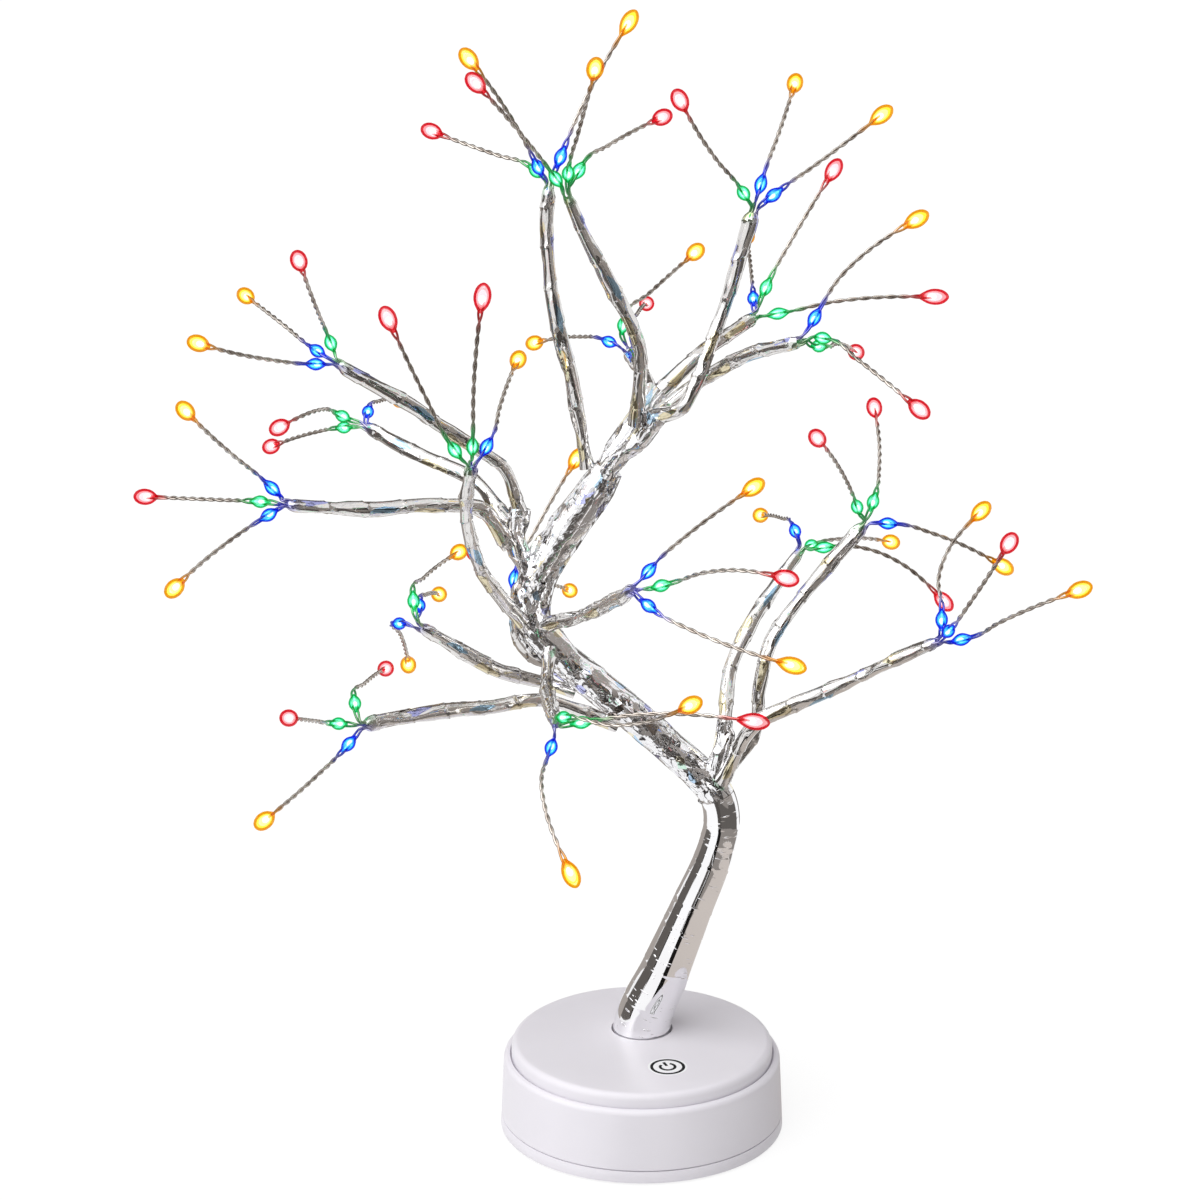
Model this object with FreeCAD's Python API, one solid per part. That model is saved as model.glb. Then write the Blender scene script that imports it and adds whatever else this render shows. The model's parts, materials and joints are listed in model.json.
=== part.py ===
import FreeCAD, Part
import math
import os

from FreeCAD import Vector

os.makedirs("parts", exist_ok=True)

# A table lamp in the form of a small tree. A round moulded base carries a trunk of bundled
# wires wrapped in film, and eighteen branches that bend where they leave the trunk. Each
# branch carries three twigs, with a light in the line of the twig and one at its end.
# Millimetres, +Z up, the front of the lamp towards -Y, the origin on the table under the
# middle of the base.

# Base housing
BASE_RADIUS = 60.0
BASE_HEIGHT = 39.0
DRAFT = 1.4
WALL = 2.2
SEAM_HEIGHT = 6.0
SEAM_GAP = 0.3
SHOULDER_DROP = 6.0
SHOULDER_ROUND = 2.6
ROUND_STEPS = 2
SHOULDER_LAND = 0.2
RECESS_DEPTH = 1.6

# Top cover, a shallow cap that sits in the housing's recess
COVER_STEP = 4.7
COVER_RADIUS = BASE_RADIUS - COVER_STEP
COVER_ROUND = 3.0
COVER_GAP = 0.6
LEDGE_WIDTH = 5.3
LEDGE_RADIUS = COVER_RADIUS - LEDGE_WIDTH
HOOK_COUNT = 3
HOOK_WIDTH = 9.0
HOOK_THICKNESS = 1.6
HOOK_GRIP = 1.0
HOOK_GAP = 0.25

# Foam ring that the lamp stands on
PAD_SET_IN = 12.0
PAD_OUTER = BASE_RADIUS - PAD_SET_IN
PAD_WIDTH = 7.0
PAD_INNER = PAD_OUTER - PAD_WIDTH
PAD_THICKNESS = 1.0
PAD_SIDES = 32

# Screws up through the bottom plate, into bosses on the housing's wall
SCREW_COUNT = 4
SCREW_INSET = 7.0
SCREW_CIRCLE = BASE_RADIUS - SCREW_INSET
SCREW_START_ANGLE = 45.0
SCREW_RADIUS = 1.5
SCREW_LENGTH = 12.0
SCREW_HEAD_RADIUS = 2.7
SCREW_HEAD_THICKNESS = 1.2
SCREW_SIDES = 6
BOSS_RADIUS = 4.2
BOSS_HEIGHT = 16.0
BOSS_SIDES = 10
SCREW_FIT = 0.15

# Battery bay for three cells side by side, and its door
CELL_COUNT = 3
CELL_RADIUS = 7.25
CELL_LENGTH = 50.5
CELL_NUB_RADIUS = 2.75
CELL_NUB = 1.0
CELL_SPACE = 0.5
CELL_SIDES = 18
BAY_WALL = 1.6
BAY_SHIFT = -4.0
SPRING_LENGTH = 6.0
SPRING_TURNS = 3
SPRING_STEPS = 5
SPRING_RADIUS = 3.6
SPRING_WIRE = 0.45
CONTACT_THICKNESS = 0.4
CONTACT_WIDTH = 9.0
TAG_WIDTH = 3.0
TAG_RISE = 2.0
TAG_GAP = 0.2
DOOR_THICKNESS = 2.0
DOOR_GAP = 0.35
TAB_WIDTH = 7.0
TAB_LENGTH = 2.4
LATCH_WIDTH = 12.0
LATCH_THICKNESS = 1.2
LATCH_HEIGHT = 2.6

# Power inlet at the back
INLET_HEIGHT = 17.0
INLET_BODY = 11.0
INLET_DEPTH = 13.0
INLET_NOSE_RADIUS = 4.0
INLET_BORE_RADIUS = 2.8
INLET_BORE_DEPTH = 9.0
INLET_PIN_RADIUS = 1.0
INLET_PIN_SET_BACK = 1.0
INLET_SET_BACK = 0.3
INLET_GAP = 0.2
INLET_SIDES = 16

# Circuit board hung under the cover, and the pad that feels a finger through it
BOARD_LENGTH = 34.0
BOARD_WIDTH = 18.0
BOARD_THICKNESS = 1.6
BOARD_X = 9.0
BOARD_Y = -25.0
BOARD_DROP = 6.0
BOARD_SCREW_RADIUS = 1.05
BOARD_SCREW_LENGTH = 6.0
BOARD_SCREW_HEAD_RADIUS = 2.2
BOARD_SCREW_HEAD_THICKNESS = 1.4
POST_RADIUS = 2.6
POST_SIDES = 10
POST_HOLE_DEPTH = 4.8
CHIP_SIZE = 5.0
CHIP_HEIGHT = 1.5
TRANSISTOR_SIZE = 3.0
TRANSISTOR_HEIGHT = 1.2
CAPACITOR_RADIUS = 2.2
CAPACITOR_HEIGHT = 5.0
PART_GAP = 1.2
HEADER_PITCH = 2.0
HEADER_WAYS = 6
HEADER_DEPTH = 3.0
HEADER_HEIGHT = 5.0
HEADER_EDGE = 1.0
TOUCH_X = 10.5
TOUCH_Y = -27.5
TOUCH_RADIUS = 6.5
TOUCH_THICKNESS = 0.4
TOUCH_SIDES = 12

# Insulated leads inside the base. Each one's points between its two ends are chosen by hand,
# and its corners are then eased.
LEAD_RADIUS = 0.6
LEAD_SIDES = 3
LEAD_SPACING = 1.8
CORNER_CUT = 0.3
BATTERY_FRONT_LEAD = [(-15, -25, 21.6), (-13, -15, 23.5), (-6, -10, 26), (2, -10, 26.7)]
BATTERY_BACK_LEAD = [(17, 16, 21.4), (18, 4, 22), (17, -8, 25), (14, -11, 26.7)]
INLET_LEAD = [
    (-3, 36, 18.5), (-12, 30, 22), (-20, 21, 23), (-21, 7, 23.5), (-15, -4, 25), (-2, -6.5, 26.3),
    (5, -7, 26.7),
]
LAMP_LEAD = [(10, -9, 25.5), (7, -2, 22.4), (2, 5, 21.6), (-1, 10, 21.8)]
TOUCH_LEAD = [(11, -27.5, 34.8), (13.5, -27.5, 32.4)]

# Trunk: where it stands, and its route from its foot up, as (x, y, z, radius). The points of
# trunk, limbs and branches are drawn at one scale, and sized together by the trunk's height.
TRUNK_BACK = 11.0
TRUNK_HEIGHT = 250.0
TRUNK_SIDES = 10
FILM = 0.9
FILM_GAP = 0.15
HOLE_GAP = 0.8
SOCKET_CLEARANCE = 3.5
SOCKET_WALL = 2.4
SOCKET_FLANGE = 5.0
FLANGE_THICKNESS = 2.0
SOCKET_SIDES = 16
SOCKET_WIRE_HOLE = 4.5
TRUNK = [
    (0, 0, 0, 12.3),
    (10, -2, 28, 10.6),
    (20, -4, 55, 9.1),
    (31, -6, 86, 7.8),
    (33, -7, 97, 7.6),
    (31, -7, 109, 7.4),
    (24, -6, 118, 7.2),
    (11, -5, 130, 7.1),
    (-19, -1, 156, 7.2),
    (-34, 1, 168, 7.4),
    (-45, 1, 181, 7.8),
    (-46, 1, 191, 8.1),
    (-44, 1, 201, 8.2),
    (-33, 1, 221, 8.3),
    (-19, 1, 242, 8.0),
    (-14, 1, 250, 6.5),
]

# Limbs: thinner bundles that leave the trunk and fork into branches, as (x, y, z) from the
# trunk's foot. The first point lies inside the trunk.
LIMB_RADIUS = 4.3
LIMB_SIDES = 8
LIMBS = {
    "limb_left": [(-44, 1, 201), (-50, 1, 210), (-52, 2, 221), (-51, 3, 230)],
    "limb_right": [(28, -7, 112), (31, -7, 123), (33, -7, 134), (34, -6, 141)],
    "limb_crown_front": [(-17, 0, 246), (-9, -4, 256), (-1, -7, 266), (5, -9, 274)],
    "limb_crown_back": [(-20, 2, 243), (-10, 5, 258), (0, 6, 272), (7, 5, 281)],
}

# Branches. Each leaves its carrier at a height above the trunk's foot. Its points run on
# from there to its tip, as (x, y, z) from the foot. A twig is its in-line light's place from
# the tip, the heading and rise in degrees of the run to its end light, and how far the
# middle of that run bows sideways and upwards.
ROOT_GAP = 0.35
STEM_RADIUS = 3.0
STEM_ROOT_RADIUS = 1.9
STEM_TIP_RADIUS = 2.7
STEM_SIDES = 6
TWIG_RADIUS = 1.1
TWIG_SPREAD = 1.45
TWIG_RISE = 1.6
TWIG_SIDES = 3
RUN_STEPS = 3
LIGHT_SPACING = 68.0
LINE_LIGHT_LENGTH = 10.0
LINE_LIGHT_RADIUS = 2.9
LINE_LIGHT_OUTLINE = [(0, 0.42), (0.5, 1), (1, 0.42)]
END_LIGHT_LENGTH = 13.0
END_LIGHT_RADIUS = 4.0
END_LIGHT_OUTLINE = [(0, 0.3), (0.4, 0.85), (0.72, 1), (1, 0.5)]
LIGHT_SIDES = 5
BRANCHES = {
    "a": (
        "trunk", 247, [(-29, 6, 282), (-35, 10, 307), (-39, 16, 337), (-39, 21, 362)],
        [((-5, 5, 5), 131, 4, 0, 0), ((-4, -5, 9), -125, 49, 1, 1), ((5, 0, 12), 57, 43, -2, -1)],
    ),
    "b": (
        "limb_crown_front", 270, [(-2, -14, 304), (-12, -17, 328), (-23, -20, 350), (-30, -23, 368)],
        [((-5, -2, 8), -126, 43, 0, 1), ((0, -6, 11), -76, 48, 0, 0), ((4, 3, 10), 61, 7, -1, 1)],
    ),
    "c": (
        "limb_crown_back", 263, [(1, 20, 275), (-2, 50, 277), (-6, 80, 276)],
        [((-9, 6, 3), 120, -14, 0, 2), ((1, 9, 8), 85, -6, 0, 2), ((-3, 0, 12), -56, 39, 1, 2)],
    ),
    "d": (
        "limb_crown_front", 274, [(15, -18, 281), (22, -16, 294), (31, -11, 317), (43, -6, 358)],
        [((-4, -5, 9), -121, 43, -1, -1), ((3, 2, 11), 76, 24, 1, 2), ((8, 0, 7), 46, 19, -2, -2)],
    ),
    "e": (
        "limb_crown_back", 281, [(22, 15, 293), (33, 27, 298), (45, 40, 303)],
        [((0, 9, 5), 91, 8, 0, 2), ((5, 4, 11), 59, 34, -1, -1), ((10, 0, 1), 16, 2, -3, 2)],
    ),
    "f": (
        "limb_crown_back", 270, [(11, -3, 278), (28, -8, 292), (41, -17, 302), (61, -35, 313)],
        [((6, 2, 9), 47, 25, -5, 1), ((9, -6, 3), -59, -10, 0, 1), ((8, 4, -3), 74, -17, 0, 2)],
    ),
    "g": (
        "trunk", 186, [(-57, -23, 201), (-67, -43, 225), (-70, -61, 249), (-67, -81, 275)],
        [((-6, -4, 8), -133, 60, -2, 3), ((1, -6, 10), -76, 72, -1, 0), ((6, 4, 7), 81, 14, 0, 2)],
    ),
    "h": (
        "limb_left", 230, [(-57, 0, 249), (-72, -1, 260), (-95, -3, 277), (-123, -6, 295)],
        [((-3, -1, 9), -99, 43, 0, -1), ((-9, 5, 4), 120, 6, -1, 1), ((-9, -4, 1), -130, 19, -2, -1)],
    ),
    "i": (
        "limb_left", 226, [(-68, 18, 237), (-92, 33, 244), (-116, 50, 252)],
        [((-10, -2, 5), -108, 12, 3, 4), ((-10, 5, -2), 124, -21, 0, 1), ((0, 8, 4), 82, -12, 0, 2)],
    ),
    "j": (
        "limb_left", 220, [(-65, -6, 233), (-84, -12, 237), (-109, -20, 238), (-143, -32, 244)],
        [((-6, 2, 6), -124, 41, -2, 1), ((-11, 3, 0), 140, -10, 1, 0), ((-7, -5, -3), -118, -9, -2, 0)],
    ),
    "k": (
        "trunk", 163, [(-46, 30, 157), (-53, 52, 158), (-55, 80, 162)],
        [((-8, 5, 5), 101, -4, 0, 2), ((-1, 5, 11), 62, 35, 0, 2), ((5, 9, 4), 75, -18, 0, 2)],
    ),
    "l": (
        "trunk", 161, [(-44, -1, 158), (-58, -10, 165), (-72, -20, 176), (-90, -32, 192)],
        [((-3, 3, 10), 77, -1, -2, 1), ((-9, 4, 0), 90, -34, 0, 2), ((-1, 9, 6), 86, -15, 0, 2)],
    ),
    "m": (
        "trunk", 147, [(-42, -13, 154), (-62, -24, 155), (-82, -36, 157), (-112, -57, 159)],
        [((-4, 6, 7), 83, -8, 0, 2), ((-10, -4, 2), -103, 22, 0, 0), ((-6, -6, -6), -115, -7, 0, -1)],
    ),
    "n": (
        "trunk", 172, [(-39, -32, 168), (-37, -60, 169), (-34, -90, 172)],
        [((-2, -7, -7), -82, -24, -6, 5), ((3, -8, 6), -41, 18, 0, -5), ((10, -3, 2), -9, 4, -3, 3)],
    ),
    "o": (
        "trunk", 184, [(-26, -25, 194), (-18, -40, 203), (-4, -70, 221)],
        [((6, 3, 7), 50, 16, -2, 0), ((11, -3, 3), -44, 16, -1, 4), ((6, -7, -4), -35, -9, -3, -1)],
    ),
    "p": (
        "limb_right", 141, [(36, 12, 158), (45, 25, 174), (56, 38, 187), (66, 49, 198)],
        [((-2, 6, 7), 101, -12, 0, 2), ((10, -1, 2), 27, -29, 1, 7), ((5, 8, 0), 56, -14, 0, 2)],
    ),
    "q": (
        "limb_right", 127, [(45, -6, 135), (48, -8, 160), (53, -5, 178), (66, -1, 196), (90, 2, 225)],
        [((-3, -4, 9), -111, 40, 1, 1), ((4, 6, 8), 87, 18, 2, 0), ((10, 2, 0), 34, -26, 1, 2)],
    ),
    "r": (
        "limb_right", 121, [(47, -18, 146), (60, -21, 154), (86, -28, 169), (118, -42, 190)],
        [((2, 4, 8), 72, 23, -7, 0), ((4, -7, 7), -65, 48, 0, -1), ((10, 0, 1), -44, 31, -2, 0)],
    ),
}


def foot():
    """Where the trunk's middle meets the top of the cover."""
    return Vector(0, TRUNK_BACK, BASE_HEIGHT)


def on_tree(point):
    """Where a point of the tree's drawing lies, with the trunk at its height."""
    return foot() + Vector(*point) * (TRUNK_HEIGHT / TRUNK[-1][2])


def save(name, solids):
    """Write one node from one solid, or from several that stay apart."""
    shape = solids[0] if len(solids) == 1 else Part.makeCompound(solids)
    shape.exportStep(f"parts/{name}.step")


BACK = Vector(0, 1, 0)
DOWN = Vector(0, 0, -1)

# How far off a plane a corner may lie and still count as in it
FLATNESS = 1e-6


def polygon(points):
    """A closed wire through the points."""
    return Part.makePolygon(points + [points[0]])


def turned(profile):
    """The solid that a profile of (radius, height) points sweeps about the base's axis."""
    face = Part.Face(polygon([Vector(radius, 0, height) for radius, height in profile]))
    return face.revolve(Vector(0, 0, 0), Vector(0, 0, 1), 360)


def round_over(radius, height, blend):
    """Profile points from the side wall up over a rounded top edge, in steps of the round."""
    turns = [math.pi / 2 * i / ROUND_STEPS for i in range(ROUND_STEPS + 1)]
    return [
        (radius - blend * (1 - math.cos(turn)), height - blend * (1 - math.sin(turn)))
        for turn in turns
    ]


def block(low, high):
    """A box between two corners."""
    size = high - low
    return Part.makeBox(size.x, size.y, size.z, low)


def prism(centre, radius, height, sides, axis=Vector(0, 0, 1)):
    """A prism with its corners on a circle, standing upright or lying along another axis."""
    first = Vector(1, 0, 0)
    second = axis.cross(first)
    turns = [2 * math.pi * i / sides for i in range(sides)]
    corners = [centre + (first * math.cos(t) + second * math.sin(t)) * radius for t in turns]
    return Part.Face(polygon(corners)).extrude(axis * height)


def around(count, start=0.0):
    """Equal steps of angle round the base, in degrees."""
    return [start + 360.0 * i / count for i in range(count)]


def spun(solid, degrees):
    """A copy of the solid turned about the base's axis."""
    copy = solid.copy()
    copy.rotate(Vector(0, 0, 0), Vector(0, 0, 1), degrees)
    return copy


def headings(points, first=None, last=None):
    """The direction of a route at each of its points."""
    runs = [(b - a).normalize() for a, b in zip(points, points[1:])]
    middle = [(a + b).normalize() for a, b in zip(runs, runs[1:])]
    return [first or runs[0]] + middle + [last or runs[-1]]


def facet(corners):
    """A flat face between its corners."""
    return Part.Face(polygon(corners))


def panels(low_left, low_right, high_right, high_left):
    """One flat face through four corners, or two where they don't lie in a plane."""
    normal = (low_right - low_left).cross(high_right - low_left).normalize()
    if abs(normal.dot(high_left - low_left)) < FLATNESS:
        return [facet([low_left, low_right, high_right, high_left])]
    return [
        facet([low_left, low_right, high_right]),
        facet([low_left, high_right, high_left]),
    ]


def tube(points, radii, sides, first=None, last=None):
    """A many-sided tube of flat faces, lofted through a ring of its own radius per point."""
    rings = []
    side = None
    for point, radius, heading in zip(points, radii, headings(points, first, last)):
        if side is None:
            side = Vector(0, 1, 0) if abs(heading.y) < 0.8 else Vector(1, 0, 0)
        side = (side - heading * side.dot(heading)).normalize()
        other = heading.cross(side)
        turns = [2 * math.pi * i / sides for i in range(sides)]
        rings.append([point + (side * math.cos(t) + other * math.sin(t)) * radius for t in turns])
    faces = [facet(rings[0][::-1]), facet(rings[-1])]
    for low, high in zip(rings, rings[1:]):
        for i in range(sides):
            j = (i + 1) % sides
            faces += panels(low[i], low[j], high[j], high[i])
    return Part.makeSolid(Part.makeShell(faces))


def shoulder_height():
    return BASE_HEIGHT - SHOULDER_DROP


def recess_height():
    return shoulder_height() - RECESS_DEPTH


def side_radius(height):
    """The housing's outside radius at a height, drawn in by the mould's draft."""
    return BASE_RADIUS - DRAFT * height / shoulder_height()


def plate_top():
    return PAD_THICKNESS + WALL


def cover_underside():
    return BASE_HEIGHT - WALL


def base_housing():
    """The side wall and the recessed ledge, with screw bosses and the inlet's hole."""
    low = SEAM_HEIGHT + SEAM_GAP
    top = shoulder_height()
    ledge = recess_height()
    recess = COVER_RADIUS + COVER_GAP
    blend = min(SHOULDER_ROUND, side_radius(top) - recess - SHOULDER_LAND)
    inside = side_radius(ledge) - WALL
    shell = turned(
        [(side_radius(low), low)]
        + round_over(side_radius(top), top, blend)
        + [
            (recess, top),
            (recess, ledge),
            (LEDGE_RADIUS, ledge),
            (LEDGE_RADIUS, ledge - WALL),
            (inside, ledge - WALL),
            (inside, low),
        ]
    )
    bosses = []
    for angle in around(SCREW_COUNT, SCREW_START_ANGLE):
        boss_top = plate_top() + BOSS_HEIGHT
        boss = prism(Vector(SCREW_CIRCLE, 0, plate_top()), BOSS_RADIUS, BOSS_HEIGHT, BOSS_SIDES)
        web = block(
            Vector(SCREW_CIRCLE, -WALL / 2, low + SEAM_GAP),
            Vector(side_radius(boss_top) - WALL / 2, WALL / 2, boss_top),
        )
        low_end = Vector(SCREW_CIRCLE, 0, plate_top())
        pilot = prism(low_end, SCREW_RADIUS + SCREW_FIT, SCREW_LENGTH, SCREW_SIDES)
        bosses.append(spun(boss.fuse(web).cut(pilot), angle))
    shell = shell.fuse(bosses)
    start = Vector(0, 0, INLET_HEIGHT)
    hole = prism(start, INLET_NOSE_RADIUS + INLET_GAP, BASE_RADIUS, INLET_SIDES, BACK)
    return shell.cut(hole)


def top_cover():
    """The cap on the base, with its snap hooks, the trunk's hole and posts for the board."""
    under = cover_underside()
    rim = COVER_RADIUS - WALL
    cap = turned(
        [(0, under), (rim, under), (rim, recess_height()), (COVER_RADIUS, recess_height())]
        + round_over(COVER_RADIUS, BASE_HEIGHT, COVER_ROUND)
        + [(0, BASE_HEIGHT)]
    )
    cap = cap.cut(prism(Vector(0, TRUNK_BACK, under), trunk_hole(), WALL, SOCKET_SIDES))
    reach = math.sqrt((LEDGE_RADIUS - HOOK_GAP) ** 2 - (HOOK_WIDTH / 2) ** 2)
    grip = recess_height() - WALL - HOOK_GAP
    hook = block(
        Vector(reach - HOOK_THICKNESS, -HOOK_WIDTH / 2, grip - HOOK_THICKNESS),
        Vector(reach, HOOK_WIDTH / 2, under),
    ).fuse(
        block(
            Vector(reach, -HOOK_WIDTH / 2, grip - HOOK_THICKNESS),
            Vector(reach + HOOK_GRIP, HOOK_WIDTH / 2, grip),
        )
    )
    posts = []
    for point in board_posts():
        low = point - Vector(0, 0, BOARD_DROP)
        post = prism(low, POST_RADIUS, BOARD_DROP, POST_SIDES)
        posts.append(
            post.cut(prism(low, BOARD_SCREW_RADIUS + SCREW_FIT, POST_HOLE_DEPTH, SCREW_SIDES))
        )
    return cap.fuse([spun(hook, angle) for angle in around(HOOK_COUNT, 90)] + posts)


def bay_size():
    """The inside of the battery bay, across, along and in height."""
    across = CELL_COUNT * 2 * CELL_RADIUS + (CELL_COUNT + 1) * CELL_SPACE
    along = CELL_LENGTH + CELL_NUB + SPRING_LENGTH + 2 * CONTACT_THICKNESS
    return across, along, 2 * CELL_RADIUS + 2 * CELL_SPACE


def door_top():
    return PAD_THICKNESS + DOOR_THICKNESS


def bay_front():
    return BAY_SHIFT - bay_size()[1] / 2


def bay_back():
    return BAY_SHIFT + bay_size()[1] / 2


def cell_height():
    """The height of the cells' axes over the table."""
    return door_top() + CELL_SPACE + CELL_RADIUS


def cell_places():
    """The sideways place of each cell's axis."""
    pitch = 2 * CELL_RADIUS + CELL_SPACE
    return [pitch * (i - (CELL_COUNT - 1) / 2) for i in range(CELL_COUNT)]


def contact_places():
    """Where each contact strip lies along the base, and the first and last cell on it."""
    front = bay_front()
    back = bay_back() - CONTACT_THICKNESS
    last = CELL_COUNT - 1
    links = [(front if i % 2 else back, i, i + 1) for i in range(last)]
    return [(front, 0, 0)] + links + [(front if last % 2 else back, last, last)]


def contact_tags():
    """The two strips that carry a solder tag: the first cell's and the last cell's."""
    return [(low, cell_places()[i]) for low, i, j in contact_places() if i == j]


def bay_top():
    """The top of the bay's ceiling."""
    return door_top() + bay_size()[2] + BAY_WALL


def tab_places():
    """The sideways places of the door's two tabs."""
    reach = bay_size()[0] / 2 - TAB_WIDTH
    return [-reach, reach]


def bottom_plate():
    """The tray that closes the base, with the battery bay moulded into it."""
    across, along, tall = bay_size()
    tray = turned(
        [
            (0, PAD_THICKNESS),
            (BASE_RADIUS, PAD_THICKNESS),
            (side_radius(SEAM_HEIGHT), SEAM_HEIGHT),
            (side_radius(SEAM_HEIGHT) - WALL, SEAM_HEIGHT),
            (BASE_RADIUS - WALL, plate_top()),
            (0, plate_top()),
        ]
    )
    ceiling = door_top() + tall
    box = block(
        Vector(-across / 2 - BAY_WALL, bay_front() - BAY_WALL, PAD_THICKNESS),
        Vector(across / 2 + BAY_WALL, bay_back() + BAY_WALL, bay_top()),
    )
    inside = block(Vector(-across / 2, bay_front(), 0), Vector(across / 2, bay_back(), ceiling))
    tray = tray.fuse(box).cut(inside)
    tab_top = plate_top() + DOOR_GAP + DOOR_THICKNESS / 2
    sweep = math.hypot(TAB_LENGTH, tab_top - PAD_THICKNESS)
    for place in tab_places():
        half = TAB_WIDTH / 2 + DOOR_GAP
        slot = block(
            Vector(place - half, bay_front() - BAY_WALL, plate_top()),
            Vector(place + half, bay_front(), PAD_THICKNESS + sweep + DOOR_GAP),
        )
        tray = tray.cut(slot)
    latch_half = LATCH_WIDTH / 2 + DOOR_GAP
    tray = tray.cut(
        block(
            Vector(-latch_half, bay_back(), 0),
            Vector(latch_half, bay_back() + BAY_WALL / 2, door_top() + LATCH_HEIGHT + DOOR_GAP),
        )
    )
    for low, place in contact_tags():
        half = TAG_WIDTH / 2 + TAG_GAP
        tray = tray.cut(
            block(
                Vector(place - half, low - TAG_GAP, ceiling),
                Vector(place + half, low + CONTACT_THICKNESS + TAG_GAP, bay_top()),
            )
        )
    centre = Vector(SCREW_CIRCLE, 0, 0)
    depth = PAD_THICKNESS + SCREW_HEAD_THICKNESS
    hole = prism(centre, SCREW_RADIUS + SCREW_FIT, plate_top(), SCREW_SIDES)
    sink = prism(centre, SCREW_HEAD_RADIUS + SCREW_FIT, depth, SCREW_SIDES)
    recess = hole.fuse(sink)
    return tray.cut([spun(recess, angle) for angle in around(SCREW_COUNT, SCREW_START_ANGLE)])


def battery_door():
    """A flat panel with two tabs that hook over the plate and a tongue that snaps shut."""
    across = bay_size()[0]
    panel = block(
        Vector(-across / 2 + DOOR_GAP, bay_front() + DOOR_GAP, PAD_THICKNESS),
        Vector(across / 2 - DOOR_GAP, bay_back() - DOOR_GAP, door_top()),
    )
    tab_low = plate_top() + DOOR_GAP
    tabs = []
    for place in tab_places():
        left = place - TAB_WIDTH / 2
        right = place + TAB_WIDTH / 2
        root = bay_front() + DOOR_GAP
        tabs.append(
            block(Vector(left, root, door_top()), Vector(right, root + DOOR_THICKNESS, tab_low))
        )
        tabs.append(
            block(
                Vector(left, root - TAB_LENGTH, tab_low),
                Vector(right, root + DOOR_THICKNESS, tab_low + DOOR_THICKNESS / 2),
            )
        )
    back = bay_back() - DOOR_GAP
    tongue = block(
        Vector(-LATCH_WIDTH / 2, back - LATCH_THICKNESS, door_top()),
        Vector(LATCH_WIDTH / 2, back, door_top() + LATCH_HEIGHT),
    )
    return panel.fuse(tabs + [tongue])


def anti_slip_ring():
    """A foam ring cut from sheet and stuck under the bottom plate."""
    outer = prism(Vector(0, 0, 0), PAD_OUTER, PAD_THICKNESS, PAD_SIDES)
    return outer.cut(prism(Vector(0, 0, 0), PAD_INNER, PAD_THICKNESS, PAD_SIDES))


def housing_screws():
    """Pan-head screws that hold the bottom plate to the housing."""
    low = Vector(SCREW_CIRCLE, 0, PAD_THICKNESS)
    head = prism(low, SCREW_HEAD_RADIUS, SCREW_HEAD_THICKNESS, SCREW_SIDES)
    shaft = prism(low, SCREW_RADIUS, SCREW_LENGTH, SCREW_SIDES)
    screw = head.fuse(shaft)
    return [spun(screw, angle) for angle in around(SCREW_COUNT, SCREW_START_ANGLE)]


def battery_cells():
    """Three AA cells, every second one turned round."""
    cells = []
    for i, place in enumerate(cell_places()):
        flipped = i % 2 == 1
        start = bay_back() - CONTACT_THICKNESS if flipped else bay_front() + CONTACT_THICKNESS
        along = Vector(0, -1 if flipped else 1, 0)
        negative = Vector(place, start, cell_height()) + along * SPRING_LENGTH
        positive = negative + along * CELL_LENGTH
        can = prism(negative, CELL_RADIUS, CELL_LENGTH, CELL_SIDES, along)
        nub = prism(positive, CELL_NUB_RADIUS, CELL_NUB, CELL_SIDES // 2, along)
        cells.append(can.fuse(nub))
    return cells


def battery_springs():
    """A coil spring at each cell's flat end, pressed between it and the contact plate."""
    springs = []
    steps = SPRING_TURNS * SPRING_STEPS
    for i, place in enumerate(cell_places()):
        flipped = i % 2 == 1
        start = bay_back() - CONTACT_THICKNESS if flipped else bay_front() + CONTACT_THICKNESS
        along = Vector(0, -1 if flipped else 1, 0)
        points = []
        for step in range(steps + 1):
            turn = 2 * math.pi * step / SPRING_STEPS
            shift = SPRING_WIRE + (SPRING_LENGTH - 2 * SPRING_WIRE) * step / steps
            ring = Vector(math.cos(turn), 0, math.sin(turn)) * SPRING_RADIUS
            points.append(Vector(place, start, cell_height()) + along * shift + ring)
        springs.append(tube(points, [SPRING_WIRE] * len(points), 3))
    return springs


def battery_contacts():
    """Plated strips on the bay's end walls. Two carry a tag up through the ceiling."""
    half = CONTACT_WIDTH / 2
    contacts = []
    for low, first, last in contact_places():
        left = cell_places()[first] - half
        right = cell_places()[last] + half
        strip = block(
            Vector(left, low, cell_height() - half),
            Vector(right, low + CONTACT_THICKNESS, cell_height() + half),
        )
        if first == last:
            middle = cell_places()[first]
            tag = block(
                Vector(middle - TAG_WIDTH / 2, low, cell_height() + half),
                Vector(middle + TAG_WIDTH / 2, low + CONTACT_THICKNESS, bay_top() + TAG_RISE),
            )
            strip = strip.fuse(tag).removeSplitter()
        contacts.append(strip)
    return contacts


def inlet_body_end():
    """How far back the inlet's square body reaches, just inside the housing's wall."""
    inside = side_radius(recess_height()) - WALL
    return math.sqrt(inside**2 - (INLET_BODY / 2) ** 2) - INLET_GAP


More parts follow.
